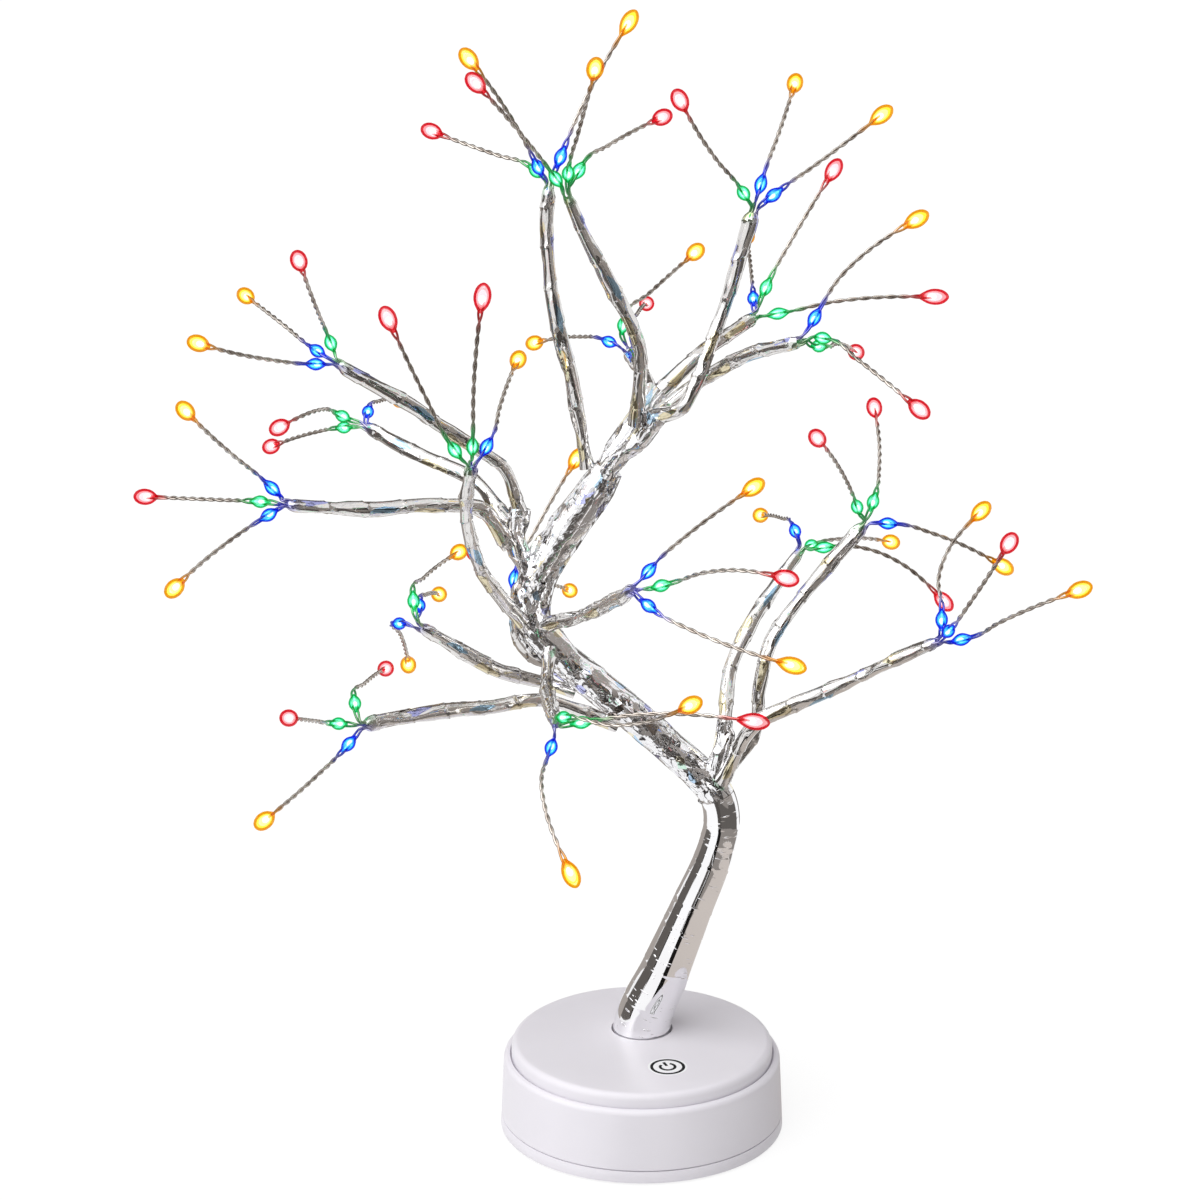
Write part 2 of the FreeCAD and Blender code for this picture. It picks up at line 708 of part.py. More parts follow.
def power_inlet():
    """A round low-voltage jack, its nose in the housing's hole, with a centre pin."""
    nose_end = side_radius(INLET_HEIGHT) - INLET_SET_BACK
    body_end = inlet_body_end()
    half = INLET_BODY / 2
    body = block(
        Vector(-half, body_end - INLET_DEPTH, INLET_HEIGHT - half),
        Vector(half, body_end, INLET_HEIGHT + half),
    )
    nose_start = Vector(0, body_end, INLET_HEIGHT)
    nose = prism(nose_start, INLET_NOSE_RADIUS, nose_end - body_end, INLET_SIDES, BACK)
    bore_start = Vector(0, nose_end - INLET_BORE_DEPTH, INLET_HEIGHT)
    bore = prism(bore_start, INLET_BORE_RADIUS, INLET_BORE_DEPTH, INLET_SIDES, BACK)
    pin_length = INLET_BORE_DEPTH - INLET_PIN_SET_BACK
    pin = prism(bore_start, INLET_PIN_RADIUS, pin_length, INLET_SIDES // 2, BACK)
    return body.fuse(nose).cut(bore).fuse(pin)


def board_posts():
    """Where the cover's two posts hold the circuit board, on the cover's underside."""
    reach = BOARD_LENGTH / 2 - POST_RADIUS
    return [Vector(BOARD_X + s * reach, BOARD_Y, cover_underside()) for s in (-1, 1)]


def board_top():
    return cover_underside() - BOARD_DROP


def board_bottom():
    return board_top() - BOARD_THICKNESS


def circuit_board():
    """A bare board screwed against the cover's two posts."""
    board = block(
        Vector(BOARD_X - BOARD_LENGTH / 2, BOARD_Y - BOARD_WIDTH / 2, board_bottom()),
        Vector(BOARD_X + BOARD_LENGTH / 2, BOARD_Y + BOARD_WIDTH / 2, board_top()),
    )
    for post in board_posts():
        low = Vector(post.x, post.y, board_bottom())
        hole = prism(low, BOARD_SCREW_RADIUS + SCREW_FIT, BOARD_THICKNESS, SCREW_SIDES)
        board = board.cut(hole)
    return board


def board_screws():
    """Two small screws up through the board into the cover's posts."""
    screws = []
    for post in board_posts():
        low = Vector(post.x, post.y, board_bottom() - BOARD_SCREW_HEAD_THICKNESS)
        head = prism(low, BOARD_SCREW_HEAD_RADIUS, BOARD_SCREW_HEAD_THICKNESS, SCREW_SIDES)
        shaft = prism(low, BOARD_SCREW_RADIUS, BOARD_SCREW_LENGTH, SCREW_SIDES)
        screws.append(head.fuse(shaft))
    return screws


def hung(left, front, width, depth, height):
    """A block that hangs under the circuit board."""
    under = board_bottom()
    return block(
        Vector(left, front, under - height), Vector(left + width, front + depth, under)
    )


def header_left():
    return BOARD_X - HEADER_PITCH * HEADER_WAYS / 2


def header_back():
    """The wire header's side that the leads enter."""
    return BOARD_Y + BOARD_WIDTH / 2 - HEADER_EDGE


def header_way(number):
    """Where a lead enters the wire header."""
    left = header_left() + HEADER_PITCH * (number + 0.5)
    return Vector(left, header_back(), board_bottom() - HEADER_HEIGHT / 2)


def board_parts():
    """The touch controller, a driver transistor, a capacitor and the wire header."""
    chip_left = BOARD_X - CHIP_SIZE / 2
    chip = hung(chip_left, BOARD_Y - CHIP_SIZE / 2, CHIP_SIZE, CHIP_SIZE, CHIP_HEIGHT)
    transistor = hung(
        chip_left + CHIP_SIZE + PART_GAP,
        BOARD_Y - TRANSISTOR_SIZE / 2,
        TRANSISTOR_SIZE,
        TRANSISTOR_SIZE,
        TRANSISTOR_HEIGHT,
    )
    low = Vector(
        chip_left - PART_GAP - CAPACITOR_RADIUS, BOARD_Y, board_bottom() - CAPACITOR_HEIGHT
    )
    capacitor = prism(low, CAPACITOR_RADIUS, CAPACITOR_HEIGHT, POST_SIDES)
    header = hung(
        header_left(),
        header_back() - HEADER_DEPTH,
        HEADER_PITCH * HEADER_WAYS,
        HEADER_DEPTH,
        HEADER_HEIGHT,
    )
    return [chip, transistor, capacitor, header]


def touch_pad():
    """A foil disc stuck under the cover, where a finger switches the lamp."""
    low = Vector(TOUCH_X, TOUCH_Y, cover_underside() - TOUCH_THICKNESS)
    return prism(low, TOUCH_RADIUS, TOUCH_THICKNESS, TOUCH_SIDES)


def eased(points):
    """The route with each of its corners cut, so that it bends in short steps."""
    route = [points[0]]
    for before, corner, after in zip(points, points[1:], points[2:]):
        route.append(corner * (1 - CORNER_CUT) + before * CORNER_CUT)
        route.append(corner * (1 - CORNER_CUT) + after * CORNER_CUT)
    return route + [points[-1]]


def lead(start, middle, end, first, last):
    """A lead from face to face, square to both, through its hand-chosen points."""
    points = eased([start] + [Vector(*point) for point in middle] + [end])
    return tube(points, [LEAD_RADIUS] * len(points), LEAD_SIDES, first, last)


def lead_wires():
    """The leads from the cells, the inlet and the touch pad to the board, and to the lights."""
    front_tag, back_tag = contact_tags()
    tag_height = bay_top() + TAG_RISE / 2
    front_start = Vector(front_tag[1], front_tag[0] + CONTACT_THICKNESS, tag_height)
    back_start = Vector(back_tag[1], back_tag[0], tag_height)
    leads = [
        lead(front_start, BATTERY_FRONT_LEAD, header_way(0), BACK, -BACK),
        lead(back_start, BATTERY_BACK_LEAD, header_way(HEADER_WAYS - 1), -BACK, -BACK),
    ]
    for i in range(2):
        above = Vector(0, 0, LEAD_SPACING * i)
        start = Vector(LEAD_SPACING * (0.5 - i), inlet_body_end() - INLET_DEPTH, INLET_HEIGHT)
        middle = [Vector(*point) + above for point in INLET_LEAD]
        leads.append(lead(start, middle, header_way(2 - i), -BACK, -BACK))
        aside = Vector(LEAD_SPACING * i, 0, 0)
        middle = [Vector(*point) + aside for point in LAMP_LEAD]
        end = trunk_route()[0][0] + Vector(LEAD_SPACING * (i - 0.5), 0, FILM_GAP)
        leads.append(lead(header_way(3 + i), middle, end, BACK, -DOWN))
    pad = Vector(TOUCH_X, TOUCH_Y, cover_underside() - TOUCH_THICKNESS)
    board = Vector(BOARD_X + CHIP_SIZE, TOUCH_Y, board_top())
    leads.append(lead(pad, TOUCH_LEAD, board, DOWN, DOWN))
    return leads


def trunk_hole():
    """The radius of the hole that the trunk's foot passes through."""
    return TRUNK[0][3] + HOLE_GAP


def socket_floor():
    """The height at which the trunk's foot stands, clear of the battery bay."""
    return bay_top() + SOCKET_CLEARANCE + SOCKET_WALL


def trunk_socket():
    """A moulded cup under the cover that holds the trunk's foot, with a hole for its wires."""
    top = cover_underside()
    low = socket_floor() - SOCKET_WALL
    outer = trunk_hole() + SOCKET_WALL

    def drum(radius, start, end):
        return prism(Vector(0, TRUNK_BACK, start), radius, end - start, SOCKET_SIDES)

    cup = drum(outer, low, top).fuse(
        drum(outer + SOCKET_FLANGE, top - FLANGE_THICKNESS, top)
    )
    cup = cup.cut(drum(trunk_hole(), socket_floor(), top))
    return cup.cut(drum(SOCKET_WIRE_HOLE, low, top))


def trunk_route():
    """The trunk's points and radii, from the floor of its socket up."""
    buried = Vector(0, TRUNK_BACK, socket_floor())
    points = [buried] + [on_tree(row[:3]) for row in TRUNK]
    radii = [TRUNK[0][3]] + [row[3] for row in TRUNK]
    return points, radii


def trunk_solid(inset, start=0.0, end=0.0):
    """The trunk drawn in by an inset, and shortened at its two ends."""
    points, radii = trunk_route()
    points = list(points)
    points[0] = points[0] + Vector(0, 0, start)
    last_run = (points[-1] - points[-2]).normalize()
    points[-1] = points[-1] - last_run * end
    return tube(points, [r - inset for r in radii], TRUNK_SIDES)


def limb_points(name):
    return [on_tree(point) for point in LIMBS[name]]


def limb_solids():
    """The limbs, each seated on the trunk's surface and clear of the limbs before it."""
    trunk = trunk_solid(0)
    made = {}
    for name in LIMBS:
        points = limb_points(name)
        limb = tube(points, [LIMB_RADIUS] * len(points), LIMB_SIDES).cut(trunk)
        for other in made.values():
            limb = limb.cut(other)
        made[name] = max(limb.Solids, key=lambda solid: solid.Volume)
    return made


def carrier_route(carrier):
    """The points and radii of the trunk or of a limb."""
    if carrier == "trunk":
        points, radii = trunk_route()
        return points[1:], radii[1:]
    points = limb_points(carrier)
    return points, [LIMB_RADIUS] * len(points)


def at_height(carrier, height):
    """A carrier's middle, radius and heading at a height over the trunk's foot."""
    points, radii = carrier_route(carrier)
    level = on_tree((0, 0, height)).z
    rows = list(zip(points, points[1:], radii, radii[1:]))
    for low, high, low_radius, high_radius in rows:
        if level <= high.z or high is points[-1]:
            share = min(1.0, (level - low.z) / (high.z - low.z))
            middle = low + (high - low) * share
            radius = low_radius + (high_radius - low_radius) * share
            return middle, radius, (high - low).normalize(), share >= 1.0 and high is points[-1]


def root_point(branch):
    """The middle of a branch's root, just clear of its carrier: the branch bends here."""
    carrier, height, points, _ = BRANCHES[branch]
    middle, radius, heading, at_end = at_height(carrier, height)
    out = on_tree(points[0]) - middle
    clear = ROOT_GAP + STEM_ROOT_RADIUS
    if at_end:
        return middle + out.normalize() * clear
    out = (out - heading * out.dot(heading)).normalize()
    return middle + out * (radius + clear)


def stem_points(branch):
    """A branch's route from its root to its tip."""
    return [root_point(branch)] + [on_tree(point) for point in BRANCHES[branch][2]]


def stem(branch):
    """The wrapped wires of a branch, rounded down at the root and cut square at the tip."""
    points = stem_points(branch)
    first = (points[1] - points[0]).normalize()
    points.insert(1, points[0] + first * STEM_RADIUS)
    radii = [STEM_RADIUS] * len(points)
    radii[0] = STEM_ROOT_RADIUS
    radii[-1] = STEM_TIP_RADIUS
    return tube(points, radii, STEM_SIDES)


def direction(heading, rise):
    """A unit vector from a heading round from +X and a rise above level, in degrees."""
    turn, lift = math.radians(heading), math.radians(rise)
    return Vector(
        math.cos(lift) * math.cos(turn), math.cos(lift) * math.sin(turn), math.sin(lift)
    )


def light(centre, axis, length, radius, outline):
    """A moulded bead round its wires, from (share of length, share of radius) pairs."""
    points = [centre + axis * length * (share - 0.5) for share, _ in outline]
    return tube(points, [radius * width for _, width in outline], LIGHT_SIDES, axis, axis)


def lead_starts(branch):
    """Where the three twigs' wires leave the tip, a third of a turn apart, in their own order."""
    points = stem_points(branch)
    tip = points[-1]
    heading = (tip - points[-2]).normalize()
    side = heading.cross(Vector(0, 0, 1)).normalize()
    other = heading.cross(side)
    outs = [Vector(*place) for place, *_ in BRANCHES[branch][3]]
    turns = [math.atan2(out.dot(other), out.dot(side)) for out in outs]
    order = sorted(range(len(outs)), key=lambda i: turns[i])
    share = 2 * math.pi / len(outs)
    base = sum(turns[i] - share * rank for rank, i in enumerate(order)) / len(outs)
    starts = {}
    for rank, i in enumerate(order):
        turn = base + share * rank
        starts[i] = tip + (side * math.cos(turn) + other * math.sin(turn)) * TWIG_SPREAD
    return starts, heading


def twig_lines(branch, number):
    """A twig's lead and run of wire, and the place and axis of its line light and end light."""
    starts, tip_heading = lead_starts(branch)
    tip = stem_points(branch)[-1]
    place, heading, rise, sideways, upwards = BRANCHES[branch][3][number]
    line_light = tip + Vector(*place)
    end_light = line_light + direction(heading, rise) * LIGHT_SPACING
    control = (line_light + end_light) / 2 + Vector(sideways, 0, upwards) * 2
    out = (line_light - tip).normalize()
    line_axis = ((control - line_light).normalize() + out).normalize()
    end_axis = (end_light - control).normalize()
    start = starts[number]
    light_end = line_light - line_axis * (LINE_LIGHT_LENGTH / 2)
    lead_points = [start, start + tip_heading * TWIG_RISE, light_end]
    run_start = line_light + line_axis * (LINE_LIGHT_LENGTH / 2)
    run_end = end_light - end_axis * (END_LIGHT_LENGTH / 2)
    run_points = []
    for share in (i / RUN_STEPS for i in range(RUN_STEPS + 1)):
        run_points.append(
            run_start * (1 - share) ** 2 + control * 2 * share * (1 - share) + run_end * share**2
        )
    return lead_points, run_points, (line_light, line_axis), (end_light, end_axis), tip_heading


def twig(branch, number):
    """One twig of a branch: the solids of its wires, and those of its lights."""
    lead_points, run_points, line_place, end_place, tip_heading = twig_lines(branch, number)
    line_axis = line_place[1]
    end_axis = end_place[1]
    wires = [
        tube(lead_points, [TWIG_RADIUS] * 3, TWIG_SIDES, tip_heading, line_axis),
        tube(run_points, [TWIG_RADIUS] * len(run_points), TWIG_SIDES, line_axis, end_axis),
    ]
    lights = [
        light(*line_place, LINE_LIGHT_LENGTH, LINE_LIGHT_RADIUS, LINE_LIGHT_OUTLINE),
        light(*end_place, END_LIGHT_LENGTH, END_LIGHT_RADIUS, END_LIGHT_OUTLINE),
    ]
    return wires, lights


def build():
    """Write every node of the lamp."""
    save("base_housing", [base_housing()])
    save("top_cover", [top_cover()])
    save("bottom_plate", [bottom_plate()])
    save("anti_slip_ring", [anti_slip_ring()])
    save("housing_screws", housing_screws())
    save("battery_door", [battery_door()])
    save("battery_cells", battery_cells())
    save("battery_springs", battery_springs())
    save("battery_contacts", battery_contacts())
    save("power_inlet", [power_inlet()])
    save("circuit_board", [circuit_board()])
    save("board_parts", board_parts())
    save("board_screws", board_screws())
    save("touch_pad", [touch_pad()])
    save("lead_wires", lead_wires())
    save("trunk_socket", [trunk_socket()])
    save("trunk_core", [trunk_solid(FILM + FILM_GAP, FILM_GAP, FILM + FILM_GAP)])
    save("trunk_film", [trunk_solid(0).cut(trunk_solid(FILM, 0, FILM))])
    for name, limb in limb_solids().items():
        save(name, [limb])
    for branch in BRANCHES:
        wires, lights = [stem(branch)], []
        for number in range(len(BRANCHES[branch][3])):
            twig_wires, twig_lights = twig(branch, number)
            wires += twig_wires
            lights += twig_lights
        save(f"branch_{branch}_wires", wires)
        save(f"branch_{branch}_lights", lights)


build()
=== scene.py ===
import json
import math

import bmesh
import bpy
import numpy as np
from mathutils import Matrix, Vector

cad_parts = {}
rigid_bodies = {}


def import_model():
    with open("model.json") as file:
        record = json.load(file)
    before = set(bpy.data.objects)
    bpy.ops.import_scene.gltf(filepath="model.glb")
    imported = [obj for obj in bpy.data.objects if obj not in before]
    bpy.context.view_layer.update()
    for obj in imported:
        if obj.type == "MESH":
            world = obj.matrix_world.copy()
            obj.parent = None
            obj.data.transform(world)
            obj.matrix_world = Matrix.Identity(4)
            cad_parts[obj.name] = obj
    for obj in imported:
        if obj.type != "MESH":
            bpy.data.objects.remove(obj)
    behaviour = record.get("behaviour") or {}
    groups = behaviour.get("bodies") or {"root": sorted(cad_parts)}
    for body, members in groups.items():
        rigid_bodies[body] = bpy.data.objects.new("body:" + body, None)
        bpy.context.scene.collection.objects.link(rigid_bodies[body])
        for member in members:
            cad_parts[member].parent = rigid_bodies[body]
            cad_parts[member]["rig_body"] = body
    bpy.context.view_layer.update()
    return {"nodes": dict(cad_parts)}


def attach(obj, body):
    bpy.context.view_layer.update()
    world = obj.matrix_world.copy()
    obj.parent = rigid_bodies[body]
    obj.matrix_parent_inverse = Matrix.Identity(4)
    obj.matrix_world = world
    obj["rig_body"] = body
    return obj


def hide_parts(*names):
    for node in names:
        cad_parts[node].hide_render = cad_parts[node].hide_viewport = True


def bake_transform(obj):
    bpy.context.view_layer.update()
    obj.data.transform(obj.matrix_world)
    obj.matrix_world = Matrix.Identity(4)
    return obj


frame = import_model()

# The studio. The lamp stands on a wide white sheet under a large soft light at the left, and is
# seen from a little above. Grey boards and cards stand and lie round it, as they do when bright
# metal is photographed. The camera doesn't see them, only the polished film that mirrors them.
CAMERA_PLACE = (0.0, -1.6233, 0.7958)
CAMERA_DIP = math.radians(19.04)
CAMERA_TURN = math.radians(0.627)
CAMERA_ANGLE = math.radians(16.261)
CAMERA_NEAR, CAMERA_FAR = 0.05, 60.0
SHEET_RADIUS = 14.0
SHEET_SIDES = 96
# the sheet's grey in soft light, and what the camera sees of it: its own white and its shade
SHEET_GREY, SHEET_WHITE, SHEET_SHADE = 0.65, 0.84, 0.20
SKY_COLOUR = (1.0, 0.995, 1.0, 1)
SKY_LEVEL = 0.45
WINDOW_LEVEL = 2.40
WINDOW_WIDTH = math.radians(80)
WINDOW_WAY = (-0.47, -0.44, 0.765)
TREE_MIDDLE = 0.3
CARD_TINT = (1.0, 0.91, 0.84)
CARD_STEPS = 8
BOARD_RING = 2.6
# each board: where it stands round the lamp in degrees from the camera's side, its width in
# degrees, its lowest and highest edge in degrees above the tree's middle, and its grey
BOARDS = [
    ("board_front", 16, 44, -8, 27, 0.070),
    ("board_right", 71, 66, -8, 46, 0.34),
    ("board_left", -89, 46, -8, 7, 0.12),
    ("board_back", 180, 80, 3, 50, 0.16),
]
# each card is level: how high, from and to which distance, from and to which bearing, and grey
CARDS = [
    ("card_front_near", 0.0005, 0.064, 0.29, -16, 3, 0.010),
    ("card_front", 0.0005, 0.30, 2.6, -19, 3, 0.085),
    ("card_right_near", 0.0005, 0.064, 0.205, 3, 140, 0.61),
    ("card_right_middle", 0.0005, 0.205, 0.30, 3, 125, 0.27),
    ("card_right_far", 0.0005, 0.30, 2.4, 3, 108, 0.12),
    ("card_left_edge", 0.0005, 0.36, 2.6, -67, -63, 0.008),
    ("card_left", 0.0005, 0.36, 2.6, -110, -67, 0.13),
    ("card_far_left", 0.0005, 0.20, 2.6, -180, -110, 0.40),
    ("card_back", 0.0005, 0.36, 1.9, 140, 180, 0.20),
    ("card_raised_left", 0.13, 0.13, 1.3, -42, 1, 0.115),
    ("card_raised_right", 0.13, 0.13, 1.3, 1, 60, 0.27),
]

scene = bpy.context.scene
scene.view_settings.view_transform = "Standard"
camera_data = bpy.data.cameras.new("camera")
camera_data.angle = CAMERA_ANGLE
camera_data.clip_start, camera_data.clip_end = CAMERA_NEAR, CAMERA_FAR
camera = bpy.data.objects.new("camera", camera_data)
camera.location = CAMERA_PLACE
camera.rotation_euler = (math.pi / 2 - CAMERA_DIP, 0, CAMERA_TURN)
scene.collection.objects.link(camera)
scene.camera = camera


def nodes_for(tree):
    """The means to add nodes to an emptied tree, each with its settings and its inputs. An
    input is linked where it is given a socket, or a node, which stands for its first output."""
    tree.nodes.clear()

    def add(kind, *inputs, **settings):
        node = tree.nodes.new("ShaderNode" + kind)
        given = dict(enumerate(inputs))
        for key, value in settings.items():
            if hasattr(node, key) and key not in node.inputs:
                setattr(node, key, value)
            else:
                given[key.replace("_", " ")] = value
        for key, value in given.items():
            if isinstance(value, bpy.types.Node):
                value = value.outputs[0]
            if isinstance(value, bpy.types.NodeSocket):
                tree.links.new(value, node.inputs[key])
            else:
                node.inputs[key].default_value = value
        return node

    return add


def new_finish(name):
    """A new material with nothing in it, and the means to add nodes to it."""
    material = bpy.data.materials.new(name)
    material.use_nodes = True
    return material, nodes_for(material.node_tree)


def direct_view(add):
    """1 for a ray that the camera or a mirror or a clear piece sends, 0 for soft light."""
    path = add("LightPath").outputs
    either = add("Math", path["Is Camera Ray"], path["Is Glossy Ray"], operation="MAXIMUM")
    return add("Math", either, path["Is Transmission Ray"], operation="MAXIMUM")


def mesh_piece(name, points, faces, material=None, smooth=True):
    """A new object from points in metres and faces by number."""
    mesh = bpy.data.meshes.new(name)
    mesh.from_pydata([tuple(p) for p in points], [], faces)
    mesh.update()
    if smooth:
        mesh.shade_smooth()
    piece = bpy.data.objects.new(name, mesh)
    scene.collection.objects.link(piece)
    if material:
        mesh.materials.append(material)
    return piece


world = bpy.data.worlds.new("studio")
world.use_nodes = True
scene.world = world
add = nodes_for(world.node_tree)
soft_sky = add("Background", Color=SKY_COLOUR, Strength=SKY_LEVEL)
white_sky = add("Background", Color=(1, 1, 1, 1))
add("OutputWorld", Surface=add("MixShader", direct_view(add), soft_sky, white_sky))

paper, add = new_finish("white_sheet")
paper_soft = add("BsdfDiffuse", Color=(SHEET_GREY, SHEET_GREY, SHEET_GREY, 1))
paper_white = add("Emission", Color=(1, 1, 1, 1), Strength=SHEET_WHITE)
paper_shade = add("BsdfDiffuse", Color=(SHEET_SHADE, SHEET_SHADE, SHEET_SHADE, 1))
paper_seen = add("AddShader", paper_white, paper_shade)
add("OutputMaterial", Surface=add("MixShader", direct_view(add), paper_soft, paper_seen))
turns = [2 * math.pi * i / SHEET_SIDES for i in range(SHEET_SIDES)]
rim = [(SHEET_RADIUS * math.cos(turn), SHEET_RADIUS * math.sin(turn), 0) for turn in turns]
floor = mesh_piece("floor", rim, [list(range(SHEET_SIDES))], paper, smooth=False)


def grey_card(name, grey, rows):
    """A card of plain grey between pairs of points, seen only in what mirrors it."""
    finish, add = new_finish(name)
    shade = add("Emission", Color=(*[grey * tint for tint in CARD_TINT], 1), Strength=1.0)
    add("OutputMaterial", Surface=shade)
    points = [point for row in rows for point in row]
    faces = [(2 * i, 2 * i + 1, 2 * i + 3, 2 * i + 2) for i in range(len(rows) - 1)]
    card = mesh_piece(name, points, faces, finish)
    card.visible_camera = card.visible_diffuse = card.visible_shadow = False
    card.visible_transmission = False


def bearing_way(degrees):
    """The level way out from the lamp at a bearing from the camera's side."""
    turn = math.radians(degrees)
    return Vector((math.sin(turn), -math.cos(turn), 0))


for name, bearing, width, low, high, grey in BOARDS:
    rises = [BOARD_RING * math.tan(math.radians(edge)) + TREE_MIDDLE for edge in (low, high)]
    rows = []
    for i in range(CARD_STEPS + 1):
        out = bearing_way(bearing + width * (i / CARD_STEPS - 0.5)) * BOARD_RING
        rows.append([out + Vector((0, 0, rise)) for rise in rises])
    grey_card(name, grey, rows)
for name, height, near, far, start, end, grey in CARDS:
    rows = []
    for i in range(CARD_STEPS + 1):
        way = bearing_way(start + (end - start) * i / CARD_STEPS)
        rows.append([way * reach + Vector((0, 0, height)) for reach in (near, far)])
    grey_card(name, grey, rows)

window_data = bpy.data.lights.new("window_light", "SUN")
window_data.energy, window_data.angle = WINDOW_LEVEL, WINDOW_WIDTH
window = bpy.data.objects.new("window_light", window_data)
window.rotation_euler = Vector(WINDOW_WAY).to_track_quat("Z", "Y").to_euler()
scene.collection.objects.link(window)

# The base housing, a drum moulded in one shot in white plastic with a satin skin: a wall that
# draws in a little towards the top, a rounded shoulder, and a ledge on which the cover sits.
# The jack's hole goes through the wall at the back.
BASE_RADIUS = 0.060
BASE_DRAFT = 0.0014
BASE_TOP = 0.033
BASE_FOOT = 0.0063
FOOT_EDGE = 0.0004
SHOULDER_ROUND = 0.0025
RECESS_RADIUS = 0.0559
RECESS_FLOOR = 0.0314
RECESS_EDGE = 0.0002
LEDGE_RADIUS = 0.050
WALL = 0.0022
JACK_HEIGHT = 0.017
JACK_HOLE = 0.0042
DRILL_START, DRILL_END = 0.04, 0.08
TURN_SIDES = 192
PLASTIC_COLOUR = (0.795, 0.772, 0.822)


def colour_run(add, share, *stops):
    """Colours over a share from 0 to 1, each stop a place and a colour, in their order."""
    run = add("ValToRGB", share)
    marks = run.color_ramp.elements
    for mark, (place, colour) in zip(marks, (stops[0], stops[-1])):
        mark.position, mark.color = place, (*colour, 1)
    for place, colour in stops[1:-1]:
        marks.new(place).color = (*colour, 1)
    return run


def satin_plastic(name, colour, roughness=0.36):
    """Moulded plastic: a fine spark-eroded grain and hardly any change of colour."""
    material, add = new_finish(name)
    place = add("TexCoord").outputs["Object"]
    cloud = add("TexNoise", Vector=place, Scale=22.0, Detail=3.0)
    grain = add("TexNoise", Vector=place, Scale=2600.0, Detail=2.0)
    darker, lighter = [c * 0.965 for c in colour], [min(1, c * 1.015) for c in colour]
    body = add(
        "BsdfPrincipled", IOR=1.49,
        Base_Color=colour_run(add, cloud, (0.3, darker), (0.7, lighter)),
        Roughness=add("MapRange", cloud, To_Min=roughness - 0.04, To_Max=roughness + 0.05),
        Normal=add("Bump", Strength=0.10, Distance=0.00012, Height=grain),
    )
    add("OutputMaterial", Surface=body)
    return material


def quarter(radius, height, blend, steps=8):
    """Profile points up and over a rounded edge."""
    turns = [math.pi / 2 * i / steps for i in range(steps + 1)]
    return [(radius - blend * (1 - math.cos(t)), height - blend * (1 - math.sin(t))) for t in turns]


def turned(name, profile, material, sides=TURN_SIDES, centre=(0, 0)):
    """A closed solid of revolution from a closed profile of (radius, height)."""
    points, faces, count = [], [], len(profile)
    for i in range(sides):
        turn = 2 * math.pi * i / sides
        x, y = math.cos(turn), math.sin(turn)
        points += [(centre[0] + r * x, centre[1] + r * y, height) for r, height in profile]
    for i in range(sides):
        j = (i + 1) % sides
        for a in range(count):
            b = (a + 1) % count
            faces.append((i * count + a, j * count + a, j * count + b, i * count + b))
    return mesh_piece(name, points, faces, material)


def crisp(piece, degrees=28.0):
    """Smooth shading, but for edges sharper than that."""
    piece.data.shade_smooth()
    piece.data.set_sharp_from_angle(angle=math.radians(degrees))


def carved(piece, cutter):
    """Takes the cutter's space out of the piece, and the cutter away."""
    cut = piece.modifiers.new("cut", "BOOLEAN")
    cut.operation, cut.solver, cut.object = "DIFFERENCE", "EXACT", cutter
    bpy.context.view_layer.update()
    solved = piece.evaluated_get(bpy.context.evaluated_depsgraph_get())
    mesh = bpy.data.meshes.new_from_object(solved)
    piece.modifiers.clear()
    piece.data = mesh
    bpy.data.objects.remove(cutter)


def tube_faces(rings, around, start=0):
    """The faces of a closed tube through rings of numbered points: its walls, then its ends."""
    faces, last = [], start + (rings - 1) * around
    for low in range(start, last, around):
        for j in range(around):
            k = (j + 1) % around
            faces.append((low + j, low + k, low + around + k, low + around + j))
    return faces + [list(range(start, start + around))[::-1], list(range(last, last + around))]


def drill(start, end, radius, sides=48):
    """A closed round bar between two points, to cut a hole with."""
    axis = (Vector(end) - Vector(start)).normalized()
    side = axis.orthogonal().normalized()
    other = axis.cross(side)
    points = []
    for centre in (Vector(start), Vector(end)):
        for i in range(sides):
            turn = 2 * math.pi * i / sides
            points.append(centre + (side * math.cos(turn) + other * math.sin(turn)) * radius)
    return mesh_piece("drill", points, tube_faces(2, sides))


housing_plastic = satin_plastic("housing_plastic", PLASTIC_COLOUR)
side_at_top = BASE_RADIUS - BASE_DRAFT
side_at_foot = BASE_RADIUS - BASE_DRAFT * BASE_FOOT / BASE_TOP
inside = side_at_top - WALL
housing = turned(
    "base_housing_shell",
    [(side_at_foot - FOOT_EDGE, BASE_FOOT), (side_at_foot, BASE_FOOT + FOOT_EDGE)]
    + quarter(side_at_top, BASE_TOP, SHOULDER_ROUND)
    + [
        (RECESS_RADIUS + RECESS_EDGE, BASE_TOP),
        (RECESS_RADIUS, BASE_TOP - RECESS_EDGE),
        (RECESS_RADIUS, RECESS_FLOOR),
        (LEDGE_RADIUS, RECESS_FLOOR),
        (LEDGE_RADIUS, RECESS_FLOOR - WALL),
        (inside, RECESS_FLOOR - WALL),
        (inside, BASE_FOOT),
    ],
    housing_plastic,
)
carved(housing, drill((0, DRILL_START, JACK_HEIGHT), (0, DRILL_END, JACK_HEIGHT), JACK_HOLE))
crisp(housing)
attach(housing, "base_and_trunk")
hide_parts("base_housing")

# The top cover, a shallow white cap in the same plastic, pressed into the housing's recess
# with a shadow gap all round. The trunk stands in a round hole behind its middle.
COVER_RADIUS = 0.0553
COVER_TOP = 0.039
COVER_ROUND = 0.0030
COVER_FLAT = COVER_RADIUS - COVER_ROUND - 0.004
TRUNK_PLACE = (0.0, 0.011)
TRUNK_HOLE = 0.0131
HOLE_LOW, HOLE_HIGH = 0.03, 0.05
AXIS_WELD = 1e-7


